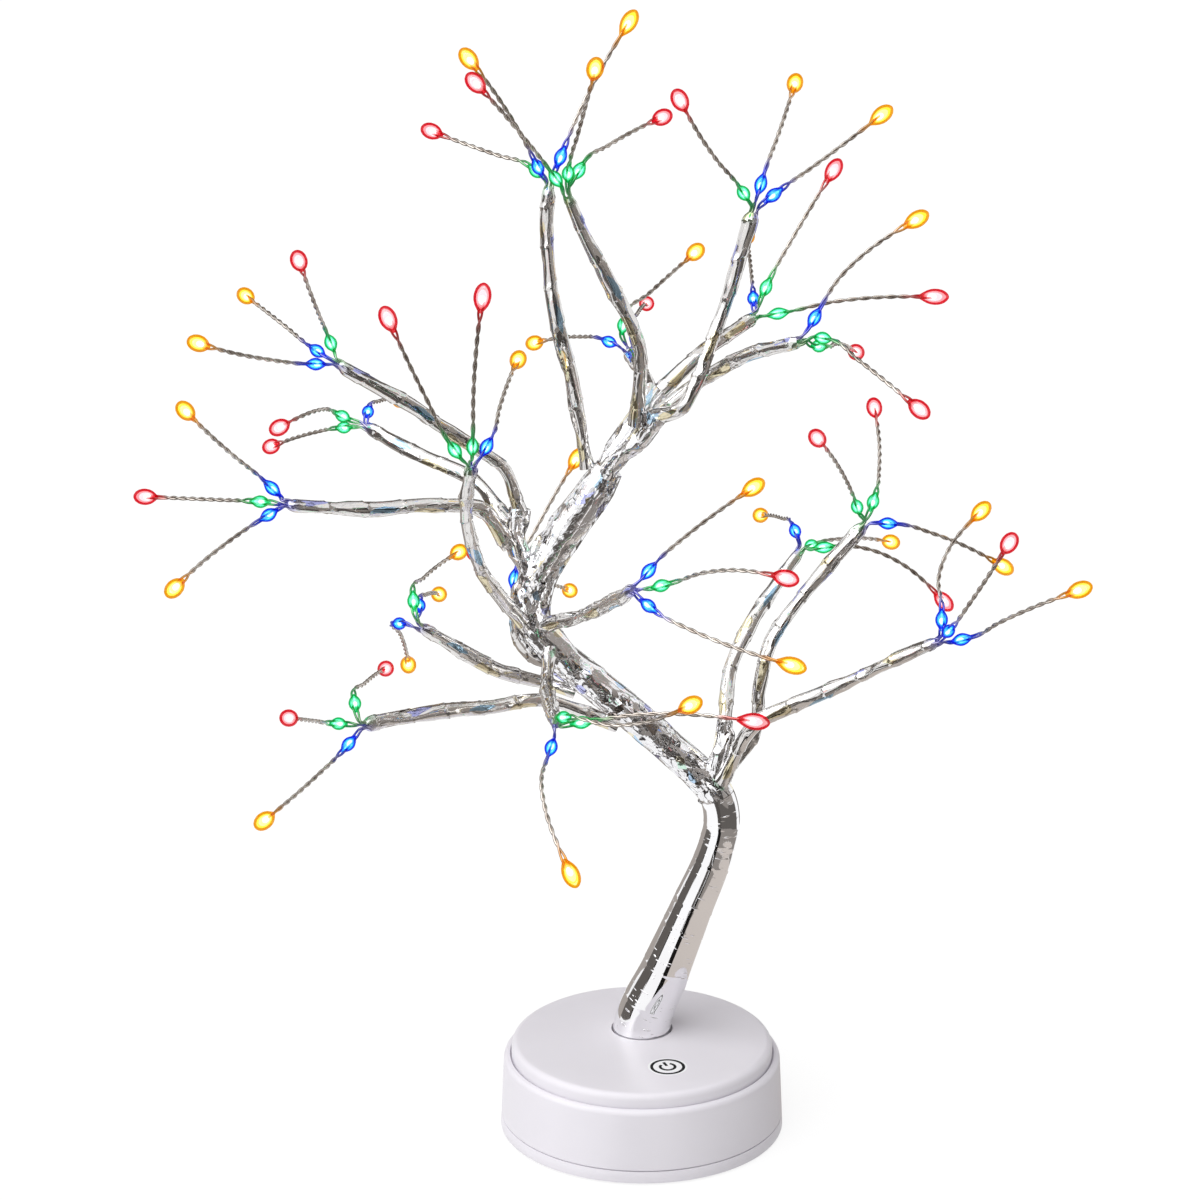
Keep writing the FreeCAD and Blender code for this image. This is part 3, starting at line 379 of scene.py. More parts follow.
def closed_on_axis(piece):
    """Joins the points that a turned piece has on its own axis."""
    shell = bmesh.new()
    shell.from_mesh(piece.data)
    bmesh.ops.remove_doubles(shell, verts=shell.verts, dist=AXIS_WELD)
    bmesh.ops.dissolve_degenerate(shell, edges=shell.edges, dist=AXIS_WELD)
    shell.to_mesh(piece.data)
    shell.free()


cover = turned(
    "cover_cap",
    [
        (0.0, COVER_TOP - WALL),
        (COVER_RADIUS - WALL, COVER_TOP - WALL),
        (COVER_RADIUS - WALL, RECESS_FLOOR),
        (COVER_RADIUS, RECESS_FLOOR),
    ]
    + quarter(COVER_RADIUS, COVER_TOP, COVER_ROUND, 10)
    + [(COVER_FLAT, COVER_TOP), (0.0, COVER_TOP)],
    housing_plastic,
)
closed_on_axis(cover)
carved(cover, drill((*TRUNK_PLACE, HOLE_LOW), (*TRUNK_PLACE, HOLE_HIGH), TRUNK_HOLE, 64))
crisp(cover)
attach(cover, "base_and_trunk")
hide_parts("top_cover")

# The printed mark over the touch pad: a black ring round a generic power sign, pad-printed on
# a thin white ground, with its bar towards the trunk.
MARK_PLACE = (0.0108, -0.0280)
MARK_TURN = math.radians(22.0)
RING_RADIUS = 0.0067
RING_STROKE = 0.00128
RING_SIDES = 96
SIGN_RADIUS = 0.0031
SIGN_STROKE = 0.00122
SIGN_GAP = math.radians(38.0)
SIGN_STEPS = 40
BAR_START = 0.0009
BAR_LENGTH = 0.0036
GROUND_RADIUS = 0.0082
GROUND_MIDDLE = 0.0001
GROUND_SIDES = 64
INK_HEIGHT = 0.00006
INK_SUNK = 0.0002


def printed(name, outline_pairs, height, material, closed=False):
    """A flat band of ink on the cover, between an inner and an outer line."""
    low, high = COVER_TOP - INK_SUNK, COVER_TOP + height
    points, faces = [], []
    for inner, outer in outline_pairs:
        points += [(*inner, low), (*outer, low), (*inner, high), (*outer, high)]
    count = len(outline_pairs)
    for i in range(count if closed else count - 1):
        a, b = 4 * i, 4 * ((i + 1) % count)
        faces += [(a, b, b + 2, a + 2), (b + 1, a + 1, a + 3, b + 3)]
        faces += [(a + 2, b + 2, b + 3, a + 3), (b, a, a + 1, b + 1)]
    if not closed:
        last = 4 * (count - 1)
        faces += [(0, 2, 3, 1), (last, last + 1, last + 3, last + 2)]
    return mesh_piece(name, points, faces, material, smooth=False)


def mark_point(radius, turn):
    """A point of the mark, its turn counted from the bar's way."""
    angle = math.pi / 2 + MARK_TURN + turn
    return (MARK_PLACE[0] + radius * math.cos(angle), MARK_PLACE[1] + radius * math.sin(angle))


def arc_band(radius, stroke, start, end, steps):
    """The inner and outer line of a stroke along an arc."""
    turns = [start + (end - start) * i / steps for i in range(steps + 1)]
    return [(mark_point(radius - stroke / 2, t), mark_point(radius + stroke / 2, t)) for t in turns]


def ring_band(radius, stroke, sides):
    """The inner and outer line of a stroke all the way round."""
    return arc_band(radius, stroke, 0, 2 * math.pi * (sides - 1) / sides, sides - 1)


ink, add = new_finish("black_ink")
ink_cloud = add("TexNoise", Vector=add("TexCoord").outputs["Object"], Scale=900.0, Detail=2.0)
ink_tone = colour_run(add, ink_cloud, (0.0, (0.002, 0.002, 0.003)), (1.0, (0.006, 0.006, 0.008)))
ink_body = add("BsdfPrincipled", Base_Color=ink_tone, Roughness=0.65, Specular_IOR_Level=0.2)
add("OutputMaterial", Surface=ink_body)
white_ink = satin_plastic("white_ink", (0.90, 0.90, 0.92), 0.4)

ground_band = ring_band(GROUND_RADIUS / 2 + GROUND_MIDDLE, GROUND_RADIUS, GROUND_SIDES)
ground = printed("mark_ground", ground_band, INK_HEIGHT / 2, white_ink, closed=True)
ring_lines = ring_band(RING_RADIUS, RING_STROKE, RING_SIDES)
ring = printed("mark_ring", ring_lines, INK_HEIGHT, ink, closed=True)
sign_lines = arc_band(SIGN_RADIUS, SIGN_STROKE, SIGN_GAP, 2 * math.pi - SIGN_GAP, SIGN_STEPS)
sign = printed("mark_arc", sign_lines, INK_HEIGHT, ink)
along = Vector((math.cos(math.pi / 2 + MARK_TURN), math.sin(math.pi / 2 + MARK_TURN)))
half = Vector((-along.y, along.x)) * (SIGN_STROKE / 2)
middles = [Vector(MARK_PLACE) + along * reach for reach in (BAR_START, BAR_START + BAR_LENGTH)]
bar_lines = [(tuple(middle - half), tuple(middle + half)) for middle in middles]
bar = printed("mark_bar", bar_lines, INK_HEIGHT, ink)
for piece in (ground, ring, sign, bar):
    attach(piece, "base_and_trunk")

# The underside: the moulded tray that closes the base and its battery door, both the CAD
# pieces with their edges broken, the ring cut from foam sheet on which the lamp stands, and
# the four pan-head screws with a cross recess that hold the tray to the housing.
TRAY_EDGE, DOOR_EDGE = 0.0004, 0.0003
CORNER_WELD = 2e-6
NEARLY_FLAT, SHARP_EDGE = math.radians(0.5), math.radians(35)
PAD_INNER, PAD_OUTER, PAD_THICKNESS = 0.041, 0.048, 0.001
SCREW_COUNT = 4
SCREW_CIRCLE = 0.053
SCREW_SIDES = 48
SCREW_HEAD, SCREW_SHANK = 0.00288, 0.0014
SCREW_TOP = 0.0129
HEAD_TOP = 0.0021
HEAD_PROUD = 0.0002
# the head's crown, each point a share of its radius and how far it lies behind the face
HEAD_CROWN = [(0, 0), (0.55, 0), (0.85, 0.00007), (1, 0.0002)]
SLOT_REACH, SLOT_HALF, SLOT_DEPTH = 0.00125, 0.00028, 0.0007


def eased(node, edge, material):
    """A copy of a CAD node's shape with its sharp edges broken, which stands for the node."""
    shape = bmesh.new()
    shape.from_mesh(frame["nodes"][node].data)
    bmesh.ops.remove_doubles(shape, verts=shape.verts, dist=CORNER_WELD)
    bmesh.ops.dissolve_limit(shape, angle_limit=NEARLY_FLAT, verts=shape.verts, edges=shape.edges)
    edges = [e for e in shape.edges if len(e.link_faces) == 2 and e.calc_face_angle(0) > SHARP_EDGE]
    bmesh.ops.bevel(
        shape, geom=edges, offset=edge, segments=2, profile=0.5, affect="EDGES", clamp_overlap=True,
    )
    piece = mesh_piece(node + "_eased", [], [], material)
    shape.to_mesh(piece.data)
    shape.free()
    crisp(piece)
    return piece


def plain_finish(name, colour, roughness, metallic=0.0, grain=900.0, depth=0.00006, spread=0.12):
    """A finish with a fine grain and a little change of tone, for screws, foam and inner parts."""
    material, add = new_finish(name)
    cloud = add("TexNoise", Vector=add("TexCoord").outputs["Object"], Scale=grain, Detail=4.0)
    darker, lighter = [c * (1 - spread) for c in colour], [min(1, c * (1 + spread)) for c in colour]
    body = add(
        "BsdfPrincipled", Roughness=roughness, Metallic=metallic,
        Base_Color=colour_run(add, cloud, (0.32, darker), (0.68, lighter)),
        Normal=add("Bump", Strength=0.3, Distance=depth, Height=cloud),
    )
    add("OutputMaterial", Surface=body)
    return material


inner_plastic = satin_plastic("inner_plastic", (0.70, 0.69, 0.71), 0.45)
foam = plain_finish("foam", (0.022, 0.022, 0.025), 0.85, grain=1500.0, depth=0.0003, spread=0.35)
screw_steel = plain_finish("screw_steel", (0.34, 0.34, 0.36), 0.32, 1.0, 700.0)
for node, edge in (("bottom_plate", TRAY_EDGE), ("battery_door", DOOR_EDGE)):
    piece = eased(node, edge, housing_plastic)
    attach(piece, frame["nodes"][node]["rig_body"])
    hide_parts(node)
foam_ring = turned(
    "anti_slip_ring_foam",
    [(PAD_INNER, 0), (PAD_OUTER, 0), (PAD_OUTER, PAD_THICKNESS), (PAD_INNER, PAD_THICKNESS)],
    foam,
)
crisp(foam_ring)
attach(foam_ring, "base_and_trunk")
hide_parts("anti_slip_ring")
face = PAD_THICKNESS - HEAD_PROUD
screw_outline = [(SCREW_HEAD * share, face + rise) for share, rise in HEAD_CROWN]
screw_outline += [(SCREW_HEAD, HEAD_TOP), (SCREW_SHANK, HEAD_TOP)]
screw_outline += [(SCREW_SHANK, SCREW_TOP), (0, SCREW_TOP)]
arm = [(SLOT_REACH, SLOT_HALF), (SLOT_HALF, SLOT_HALF), (SLOT_HALF, SLOT_REACH)]
quarter_turns = ((1, 0), (0, 1), (-1, 0), (0, -1))
cross = [(x * c - y * s, x * s + y * c) for c, s in quarter_turns for x, y in arm]
for number in range(SCREW_COUNT):
    turn = math.radians(45 + 360 / SCREW_COUNT * number)
    place = (SCREW_CIRCLE * math.cos(turn), SCREW_CIRCLE * math.sin(turn))
    screw = turned(f"housing_screw_{number}", screw_outline, screw_steel, SCREW_SIDES, place)
    closed_on_axis(screw)
    corners = [(place[0] + x, place[1] + y, z) for z in (0, face + SLOT_DEPTH) for x, y in cross]
    carved(screw, mesh_piece("cross_recess", corners, tube_faces(2, len(cross)), smooth=False))
    crisp(screw)
    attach(screw, "base_and_trunk")
    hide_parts("housing_screws")

# What the base holds: three cells with their springs and plated strips, the jack at the back,
# the board that hangs from the cover with its parts and screws, the touch pad, the leads, the
# cup in which the trunk stands, and the trunk's bundle of wires.
INNER_FINISHES = {
    "battery_cells": plain_finish("cell", (0.05, 0.055, 0.07), 0.3, 0.6, 300.0),
    "battery_springs": plain_finish("plated_spring", (0.62, 0.62, 0.62), 0.2, 1.0),
    "power_inlet": plain_finish("inlet_black", (0.012, 0.012, 0.013), 0.42),
    "circuit_board": plain_finish("board", (0.012, 0.085, 0.028), 0.35, 0.0, 500.0),
    "board_parts": plain_finish("board_parts", (0.012, 0.012, 0.014), 0.5),
    "touch_pad": plain_finish("pad_foil", (0.57, 0.22, 0.08), 0.28, 1.0),
    "lead_wires": plain_finish("lead_insulation", (0.27, 0.008, 0.006), 0.4),
    "trunk_core": plain_finish("wire_bundle", (0.32, 0.21, 0.15), 0.35, 1.0),
    "trunk_socket": inner_plastic,
    "battery_contacts": plain_finish("plated_strip", (0.62, 0.62, 0.60), 0.25, 1.0),
    "board_screws": screw_steel,
}
for node, material in INNER_FINISHES.items():
    piece = frame["nodes"][node]
    piece.data.materials.clear()
    piece.data.materials.append(material)

# The trunk, a bundle of wires wound in thin metallised film. Low down the film lies smooth,
# each turn lapping the last; above the second bend it was gathered and pinched by hand, and
# it is crumpled, most of all on its left.
SEED = 11
CORE_SIDES = 10
SAME_PLANE, SAME_WAY = 2e-5, 0.99
CURVE_FEWEST, CURVE_FINER = 24, 3
FILM_OVER_CORE = 0.00105
TRUNK_STEP = 0.0007
TRUNK_AROUND = 84
TRUNK_SIDE = (0.9, 0.1, 0.0)
# how much the film's pattern is drawn out along the trunk
TRUNK_STRETCH = 1.5
# the film's turns: how far apart their edges are, how each edge stands up and how it wanders
LAP_START, LAP_SPARE = -0.004, 0.01
LAP_SHORTEST, LAP_LONGEST = 0.0065, 0.021
LAP_STEP = 0.00006
LAP_LIP, LAP_LIP_LENGTH = 0.00011, 0.0008
LAP_WANDER, LAP_TILT = 0.0009, 0.0014
LAP_LOST = 0.5
# the crumples: their sizes, each with its share, and the shape of each patch by its size
TRUNK_CRUMPLES = [(0.0062, 0.55), (0.0030, 0.45)]
PATCH_FEWEST, PATCH_SHIFT, PATCH_LIFT = 8, 0.3, 0.10
PATCH_SLOPE, PATCH_DOME = 0.36, 0.2
# from where up the trunk it is crumpled, how deep, and how much more on its left
CRUMPLE_START, CRUMPLE_EASE = 0.128, 0.010
CRUMPLE_RISE, CRUMPLE_FULL = 0.225, 0.245
CRUMPLE_DEPTH = 0.0010
CRUMPLE_EVEN, CRUMPLE_SIDED, CRUMPLE_LEAST = 0.40, 0.60, 0.10
CRUMPLE_SIDE = math.radians(180)
LAP_SHARPNESS, CRUMPLE_SHARPNESS = 40, 24
# where along the trunk hands have pinched the film: how far up, over what length, how hard
PINCHES = [(0.137, 0.009, 0.26), (0.163, 0.008, 0.22), (0.196, 0.010, 0.45), (0.222, 0.014, 0.85)]
FILM_BRIGHT = (0.93, 0.93, 0.95)
# painted reflections: the dark and the brown colour that some pinched patches of the film are given, as
# if they mirrored something dark
PAINTED_DARK_REFLECTION, PAINTED_BROWN_REFLECTION = (0.24, 0.21, 0.19), (0.36, 0.32, 0.295)
# painted shade in the film's folds
PAINTED_CREASE_SHADE = (0.05, 0.045, 0.045, 1)
CALM_FLOOR = 0.08
# painted reflections of the lights: the colours that a few patches of the film are painted with, each
# from its share of them on
PAINTED_GLINTS = [
    (0.0, (1, 1, 1)), (0.90, (0.30, 0.34, 0.95)), (0.935, (0.25, 0.62, 0.95)),
    (0.955, (0.45, 0.90, 0.62)), (0.975, (0.97, 0.86, 0.5)),
]
# the smooth film's dents: where their pattern starts, and how short they are along the trunk
DENT_SHIFT, DENT_SHAPE = (0.31, 0.12, 0.74), (0.85, 0.85, 7.0)
# how brightly the painted glow of a light close by shows on the film and the wires, besides their own
# reflection
PAINTED_GLOW_LEVEL = 0.30


def welded(node):
    """A CAD node's points with doubles joined, and its triangles."""
    mesh = frame["nodes"][node].data
    mesh.calc_loop_triangles()
    known, index = {}, []
    for vertex in mesh.vertices:
        key = tuple(round(c, 6) for c in vertex.co)
        index.append(known.setdefault(key, len(known)))
    points = np.zeros((len(known), 3))
    for vertex, number in zip(mesh.vertices, index):
        points[number] = vertex.co
    triangles = [tuple(index[i] for i in t.vertices) for t in mesh.loop_triangles]
    return points, triangles


def islands(points, triangles):
    """The separate tubes of a node, as lists of point numbers, in the node's own order."""
    joined = list(range(len(points)))

    def top(i):
        while joined[i] != i:
            joined[i] = joined[joined[i]]
            i = joined[i]
        return i

    for a, b, c in triangles:
        joined[top(b)] = top(a)
        joined[top(c)] = top(a)
    groups = {}
    for i in range(len(points)):
        groups.setdefault(top(i), []).append(i)
    return sorted(groups.values(), key=min)


def tube_line(points, triangles, members, sides):
    """The middles and radii of a tube's rings, from one end to the other."""
    inside = set(members)
    own = [t for t in triangles if t[0] in inside]
    near = {i: set() for i in members}
    for t in own:
        for i in t:
            near[i].update(t)
    starts = [set(t) for t in own]
    # a tube with more than three sides starts from a flat end, found by its level triangles
    if sides > 3:
        corners = points[np.array(own)]
        normals = np.cross(corners[:, 1] - corners[:, 0], corners[:, 2] - corners[:, 0])
        normals /= np.linalg.norm(normals, axis=1)[:, None]
        starts = []
        for normal, corner in zip(normals, corners):
            level = np.abs((corners - corner[0]) @ normal).max(1) < SAME_PLANE
            flat = set(np.array(own)[level & (normals @ normal > SAME_WAY)].ravel().tolist())
            if len(flat) == sides:
                starts.append(flat)
    for start in starts:
        rings, seen = [set(start)], set(start)
        while True:
            after = set().union(*(near[i] for i in rings[-1])) - seen
            if not after:
                break
            rings.append(after)
            seen |= after
        if all(len(ring) == sides for ring in rings) and len(seen) == len(members):
            middles = np.array([points[list(ring)].mean(0) for ring in rings])
            away = [points[list(ring)] - middle for ring, middle in zip(rings, middles)]
            return middles, np.array([np.linalg.norm(a, axis=1).mean() for a in away])
    raise ValueError("no ring found")


def curve_through(points, step, radii=None):
    """Points at even steps along a smooth curve through the given points, and how far on."""
    knots = np.concatenate([[0], np.cumsum(np.linalg.norm(np.diff(points, axis=0), axis=1))])
    slopes = np.gradient(points, knots, axis=0)
    fine = np.linspace(0, knots[-1], max(CURVE_FEWEST, int(knots[-1] / step * CURVE_FINER)))
    spans = np.clip(np.searchsorted(knots, fine, side="right") - 1, 0, len(knots) - 2)
    width = (knots[spans + 1] - knots[spans])[:, None]
    share = (fine - knots[spans])[:, None] / width
    path = (
        points[spans] * (2 * share**3 - 3 * share**2 + 1)
        + slopes[spans] * width * (share**3 - 2 * share**2 + share)
        + points[spans + 1] * (3 * share**2 - 2 * share**3)
        + slopes[spans + 1] * width * (share**3 - share**2)
    )
    gone = np.concatenate([[0], np.cumsum(np.linalg.norm(np.diff(path, axis=0), axis=1))])
    even = np.linspace(0, gone[-1], max(2, int(round(gone[-1] / step)) + 1))
    line = np.array([np.interp(even, gone, path[:, i]) for i in range(3)]).T
    if radii is None:
        return line, even
    return line, even, np.interp(np.interp(even, gone, fine), knots, radii)


def even_turns(count):
    """Angles at even steps round a tube."""
    return np.linspace(0, 2 * math.pi, count, endpoint=False)


def frames_along(line, first):
    """At each point of a line: two ways square to it and to each other, without twist."""
    heading = np.gradient(line, axis=0)
    heading /= np.linalg.norm(heading, axis=1)[:, None]
    side = np.array(first, float)
    sides = []
    for way in heading:
        side = side - way * (side @ way)
        side = side / np.linalg.norm(side)
        sides.append(side)
    sides = np.array(sides)
    return sides, np.cross(heading, sides)


def unroll(gone, radii, around, stretch):
    """Where each point of a tube's wall lies once the tube is straightened and squeezed."""
    turns = even_turns(around)
    along = np.repeat(gone[:, None] / stretch, around, axis=1)
    across = [radii[:, None] * np.cos(turns)[None], radii[:, None] * np.sin(turns)[None]]
    return np.stack(across + [along], axis=-1)


def crumple(spots, sizes, rng):
    """Heights of hand-crumpled film over a tube's straightened wall: flat patches and creases."""
    shape = spots.shape[:2]
    spots = spots.reshape(-1, 3)
    reach = np.abs(spots[:, :2]).max()
    total = 0
    for pitch, part in sizes:
        count = max(PATCH_FEWEST, int(np.ptp(spots[:, 2]) * 2 * math.pi * reach / pitch**2))
        heights = np.zeros(len(spots))
        for sign in (1, -1):
            seeds = spots[rng.integers(0, len(spots), count)]
            seeds = seeds + rng.normal(0, pitch * PATCH_SHIFT, (count, 3))
            tilts = rng.normal(0, PATCH_SLOPE, (count, 3))
            lifts = rng.normal(0, pitch * PATCH_LIFT, count)
            best = np.full(len(spots), -1e9)
            for seed, tilt, lift in zip(seeds, tilts, lifts):
                away = spots - seed
                dome = (away**2).sum(1) * PATCH_DOME / pitch
                best = np.maximum(best, lift + away @ tilt - dome)
            heights += sign * best
        total = total + (heights - np.median(heights)) * part
    return total.reshape(shape)


def write_painted_light(piece, colours):
    """Gives each point the colour of the light painted onto it and, as its alpha, how much of that
    painted light it takes.
    """
    layers = piece.data.color_attributes
    layer = layers.get("lit") or layers.new("lit", "FLOAT_COLOR", "POINT")
    layer.data.foreach_set("color", colours.astype(np.float32).ravel())


def skin(name, line, radii, heights, spots, material, first=TRUNK_SIDE):
    """A closed tube whose wall stands off the radii by the heights, with both ends shut."""
    side, other = frames_along(line, first)
    around = heights.shape[1]
    turns = even_turns(around)[None, :, None]
    circle = side[:, None] * np.cos(turns) + other[:, None] * np.sin(turns)
    points = (line[:, None] + circle * (radii[:, None] + heights)[:, :, None]).reshape(-1, 3)
    faces = tube_faces(len(line), around)[:-2]
    first_middle, last_middle = len(points), len(points) + 1
    last = len(points) - around
    for j in range(around):
        k = (j + 1) % around
        faces += [(first_middle, k, j), (last_middle, last + j, last + k)]
    points = np.concatenate([points, [line[0], line[-1]]])
    piece = mesh_piece(name, points, faces, material)
    flat = np.concatenate([spots.reshape(-1, 3), [spots[0].mean(0), spots[-1].mean(0)]])
    lie = piece.data.attributes.new("straightened", "FLOAT_VECTOR", "POINT")
    lie.data.foreach_set("vector", flat.astype(np.float32).ravel())
    # no painted light, unless a light close by is painted on later
    write_painted_light(piece, np.tile((1.0, 1.0, 1.0, 0.0), len(points)))
    return piece


def straightened(add):
    """Where a point of the film lies once its tube is straightened, as a place for patterns."""
    lie = add("Attribute", attribute_name="straightened", attribute_type="GEOMETRY")
    return lie.outputs["Vector"]


def painted_light_nearby(add, tone):
    """A body's colour and painted glow: the tone, with the colour of a light close by painted onto the
    piece as light and as glow.
    """
    near = add("Attribute", attribute_name="lit", attribute_type="GEOMETRY").outputs
    return {
        "Base_Color": add("MixRGB", near["Alpha"], tone, near["Color"], blend_type="MULTIPLY"),
        "Emission_Color": near["Color"],
        "Emission_Strength": add("Math", near["Alpha"], PAINTED_GLOW_LEVEL, operation="MULTIPLY"),
    }


def film_finish(name, patch, tilt, painted_dark_share, roughness, pinched, glints, bright):
    """Metallised film: a bright mirror. Where it was pinched it lies in small patches that each
    face their own way, with painted shade in the short folds between them, painted dark and
    brown reflections in a few, and painted glints of the lights' colours in some."""
    material, add = new_finish(name)

    def times(first, second):
        return add("Math", first, second, operation="MULTIPLY")

    def ranged(value, low, high, start=0.0, end=1.0):
        limits = {"From_Min": low, "From_Max": high, "To_Min": start, "To_Max": end}
        return add("MapRange", value, interpolation_type="SMOOTHSTEP", **limits)

    lie = straightened(add)
    warp = add("TexNoise", Vector=lie, Scale=0.35 / patch, Detail=2.0).outputs["Color"]
    bent = add("VectorMath", warp, (patch * 1.1,) * 3, lie, operation="MULTIPLY_ADD")
    slopes, colours = [], []
    for size, share in ((patch, 1.0), (patch * 0.45, 0.4)):
        cells = add("TexVoronoi", feature="F1", Vector=bent, Scale=1 / size).outputs
        away = add("VectorMath", bent, cells["Position"], operation="SUBTRACT")
        own = add("VectorMath", cells["Color"], (0.5, 0.5, 0.5), operation="SUBTRACT")
        facing = add("VectorMath", away, own, operation="DOT_PRODUCT").outputs["Value"]
        slopes.append(times(facing, share * tilt))
        colours.append(cells["Color"])
    calm = add("TexNoise", Vector=lie, Scale=0.17 / patch, Detail=1.0)
    mask = ranged(calm, *pinched, CALM_FLOOR)
    # the folds: thin broken lines, each a shallow groove with painted shade in it
    wave = add("TexNoise", Vector=lie, Scale=0.62 / patch, Detail=1.5, Distortion=1.3)
    off_crest = add("Math", add("Math", wave, 0.5, operation="SUBTRACT"), operation="ABSOLUTE")
    thin = ranged(off_crest, 0.013, 0.032, 1.0, 0.0)
    broken = ranged(add("TexNoise", Vector=lie, Scale=1.1 / patch, Detail=0.0), 0.46, 0.51)
    fold = times(times(thin, broken), mask)
    height = times(add("Math", *slopes, operation="ADD"), mask)
    height = add("Math", height, times(fold, patch * 0.03), operation="SUBTRACT")
    patch_colour = add("SeparateColor", colours[0]).outputs
    # painted reflections: in the pinched places some patches are painted dark or brown, as if they
    # mirrored something dark
    tone = colour_run(
        add, patch_colour[0], (0.0, PAINTED_DARK_REFLECTION), (painted_dark_share * 0.6, PAINTED_BROWN_REFLECTION),
        (painted_dark_share, [0.92 * c for c in bright]), (1.0, bright),
    )
    shade = add("MixRGB", mask, (*bright, 1), tone, blend_type="MIX")
    # painted glints: a few patches take a light's colour, as if they mirrored it
    glint = colour_run(add, patch_colour[1], *PAINTED_GLINTS)
    glint.color_ramp.interpolation = "CONSTANT"
    hued = add("MixRGB", glints, shade, glint, blend_type="MULTIPLY")
    # painted shade: the lines of the folds are darkened almost to black
    with_painted_crease_shade = add("MixRGB", fold, hued, PAINTED_CREASE_SHADE, blend_type="MULTIPLY")
    body = add(
        "BsdfPrincipled", Metallic=1.0,
        Roughness=add("MapRange", calm, To_Min=roughness * 0.6, To_Max=roughness * 1.7),
        Normal=add("Bump", Strength=1.0, Distance=1.0, Height=height),
        # painted light and glow from the lights close by
        **painted_light_nearby(add, with_painted_crease_shade),
    )
    add("OutputMaterial", Surface=body)
    return material


def wound_film(name, roughness):
    """The same film where it lies smooth: short dents across the trunk, here and there."""
    material, add = new_finish(name)
    lie = straightened(add)
    across = add("Mapping", lie, vector_type="POINT", Location=DENT_SHIFT, Scale=DENT_SHAPE)
    dents = add("TexNoise", Vector=across, Scale=190.0, Detail=1.0)
    deep = add("MapRange", dents, interpolation_type="SMOOTHSTEP", From_Min=0.68, From_Max=0.78)
    cloud = add("TexNoise", Vector=lie, Scale=45.0, Detail=2.0)
    body = add(
        "BsdfPrincipled", Metallic=1.0,
        Base_Color=colour_run(add, cloud, (0.35, (0.89, 0.885, 0.90)), (0.65, (0.95, 0.95, 0.965))),
        Roughness=add("MapRange", cloud, To_Min=roughness * 0.7, To_Max=roughness * 1.5),
        Normal=add("Bump", Strength=1.0, Distance=0.00018, Height=deep),
    )
    add("OutputMaterial", Surface=body)
    return material


smooth_film = wound_film("smooth_film", 0.05)
crumpled_film = film_finish(
    "crumpled_film", patch=0.0034, tilt=0.55, painted_dark_share=0.16, roughness=0.07, pinched=(0.38, 0.52),
    glints=0.55, bright=FILM_BRIGHT,
)
core_points, core_faces = welded("trunk_core")
core_line, core_radii = tube_line(core_points, core_faces, range(len(core_points)), CORE_SIDES)
if core_line[0][2] > core_line[-1][2]:
    core_line, core_radii = core_line[::-1], core_radii[::-1]
line, gone, radii = curve_through(core_line, TRUNK_STEP, core_radii + FILM_OVER_CORE)
rng = np.random.default_rng(SEED)
turns = even_turns(TRUNK_AROUND)
spots = unroll(gone, radii, TRUNK_AROUND, TRUNK_STRETCH)
folds = crumple(spots, TRUNK_CRUMPLES, rng)
edges = [LAP_START]
while edges[-1] < gone[-1] + LAP_SPARE:
    edges.append(edges[-1] + rng.uniform(LAP_SHORTEST, LAP_LONGEST))
edges = np.array(edges)
wander = LAP_WANDER * np.sin(turns * 2 + 1.0) + LAP_TILT * np.cos(turns + 0.4)
along = gone[:, None] + wander[None]
turn_of_film = np.clip(np.searchsorted(edges, along, side="right") - 1, 0, len(edges) - 2)
since = along - edges[turn_of_film]
lap_height = LAP_STEP * (0.5 - since / np.diff(edges)[turn_of_film])
lap_height = lap_height + LAP_LIP * np.exp(-since / LAP_LIP_LENGTH)
pinched = sum(hard * np.exp(-(((gone - place) / reach) ** 2)) for place, reach, hard in PINCHES)
rise = np.clip((gone - CRUMPLE_RISE) / (CRUMPLE_FULL - CRUMPLE_RISE), 0, 1)
sides = CRUMPLE_EVEN + CRUMPLE_SIDED * np.cos(turns - CRUMPLE_SIDE)
sides = np.clip(sides, CRUMPLE_LEAST, 1)
amount = np.clip(pinched[:, None] + rise[:, None] * sides[None], 0, 1)
amount *= np.clip((gone - CRUMPLE_START) / CRUMPLE_EASE, 0, 1)[:, None]
folds = np.clip(folds, -CRUMPLE_DEPTH, CRUMPLE_DEPTH)
heights = lap_height * (1 - amount * LAP_LOST) + amount * folds
split = int(np.searchsorted(gone, CRUMPLE_START))
for name, part, film, sharpness in (
    ("trunk_smooth_film", slice(0, split + 1), smooth_film, LAP_SHARPNESS),
    ("trunk_crumpled_film", slice(split, None), crumpled_film, CRUMPLE_SHARPNESS),
):
    piece = skin(name, line[part], radii[part], heights[part], spots[part], film)
    crisp(piece, sharpness)
    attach(piece, "base_and_trunk")
    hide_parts("trunk_film")

# The limbs, thinner bundles of the trunk's wires that fork off it: one to each side, and two
# that part at its crown. They are wound in the same film, pressed tight by hand.
LIMB_RADIUS = 0.0041
LIMB_AROUND = 40
LIMB_STRETCH = 1.8
LIMB_CRUMPLES = [(0.0034, 0.8), (0.0019, 0.5)]
LIMB_DEPTH = 0.0008
FOOT = np.array([*TRUNK_PLACE, COVER_TOP])
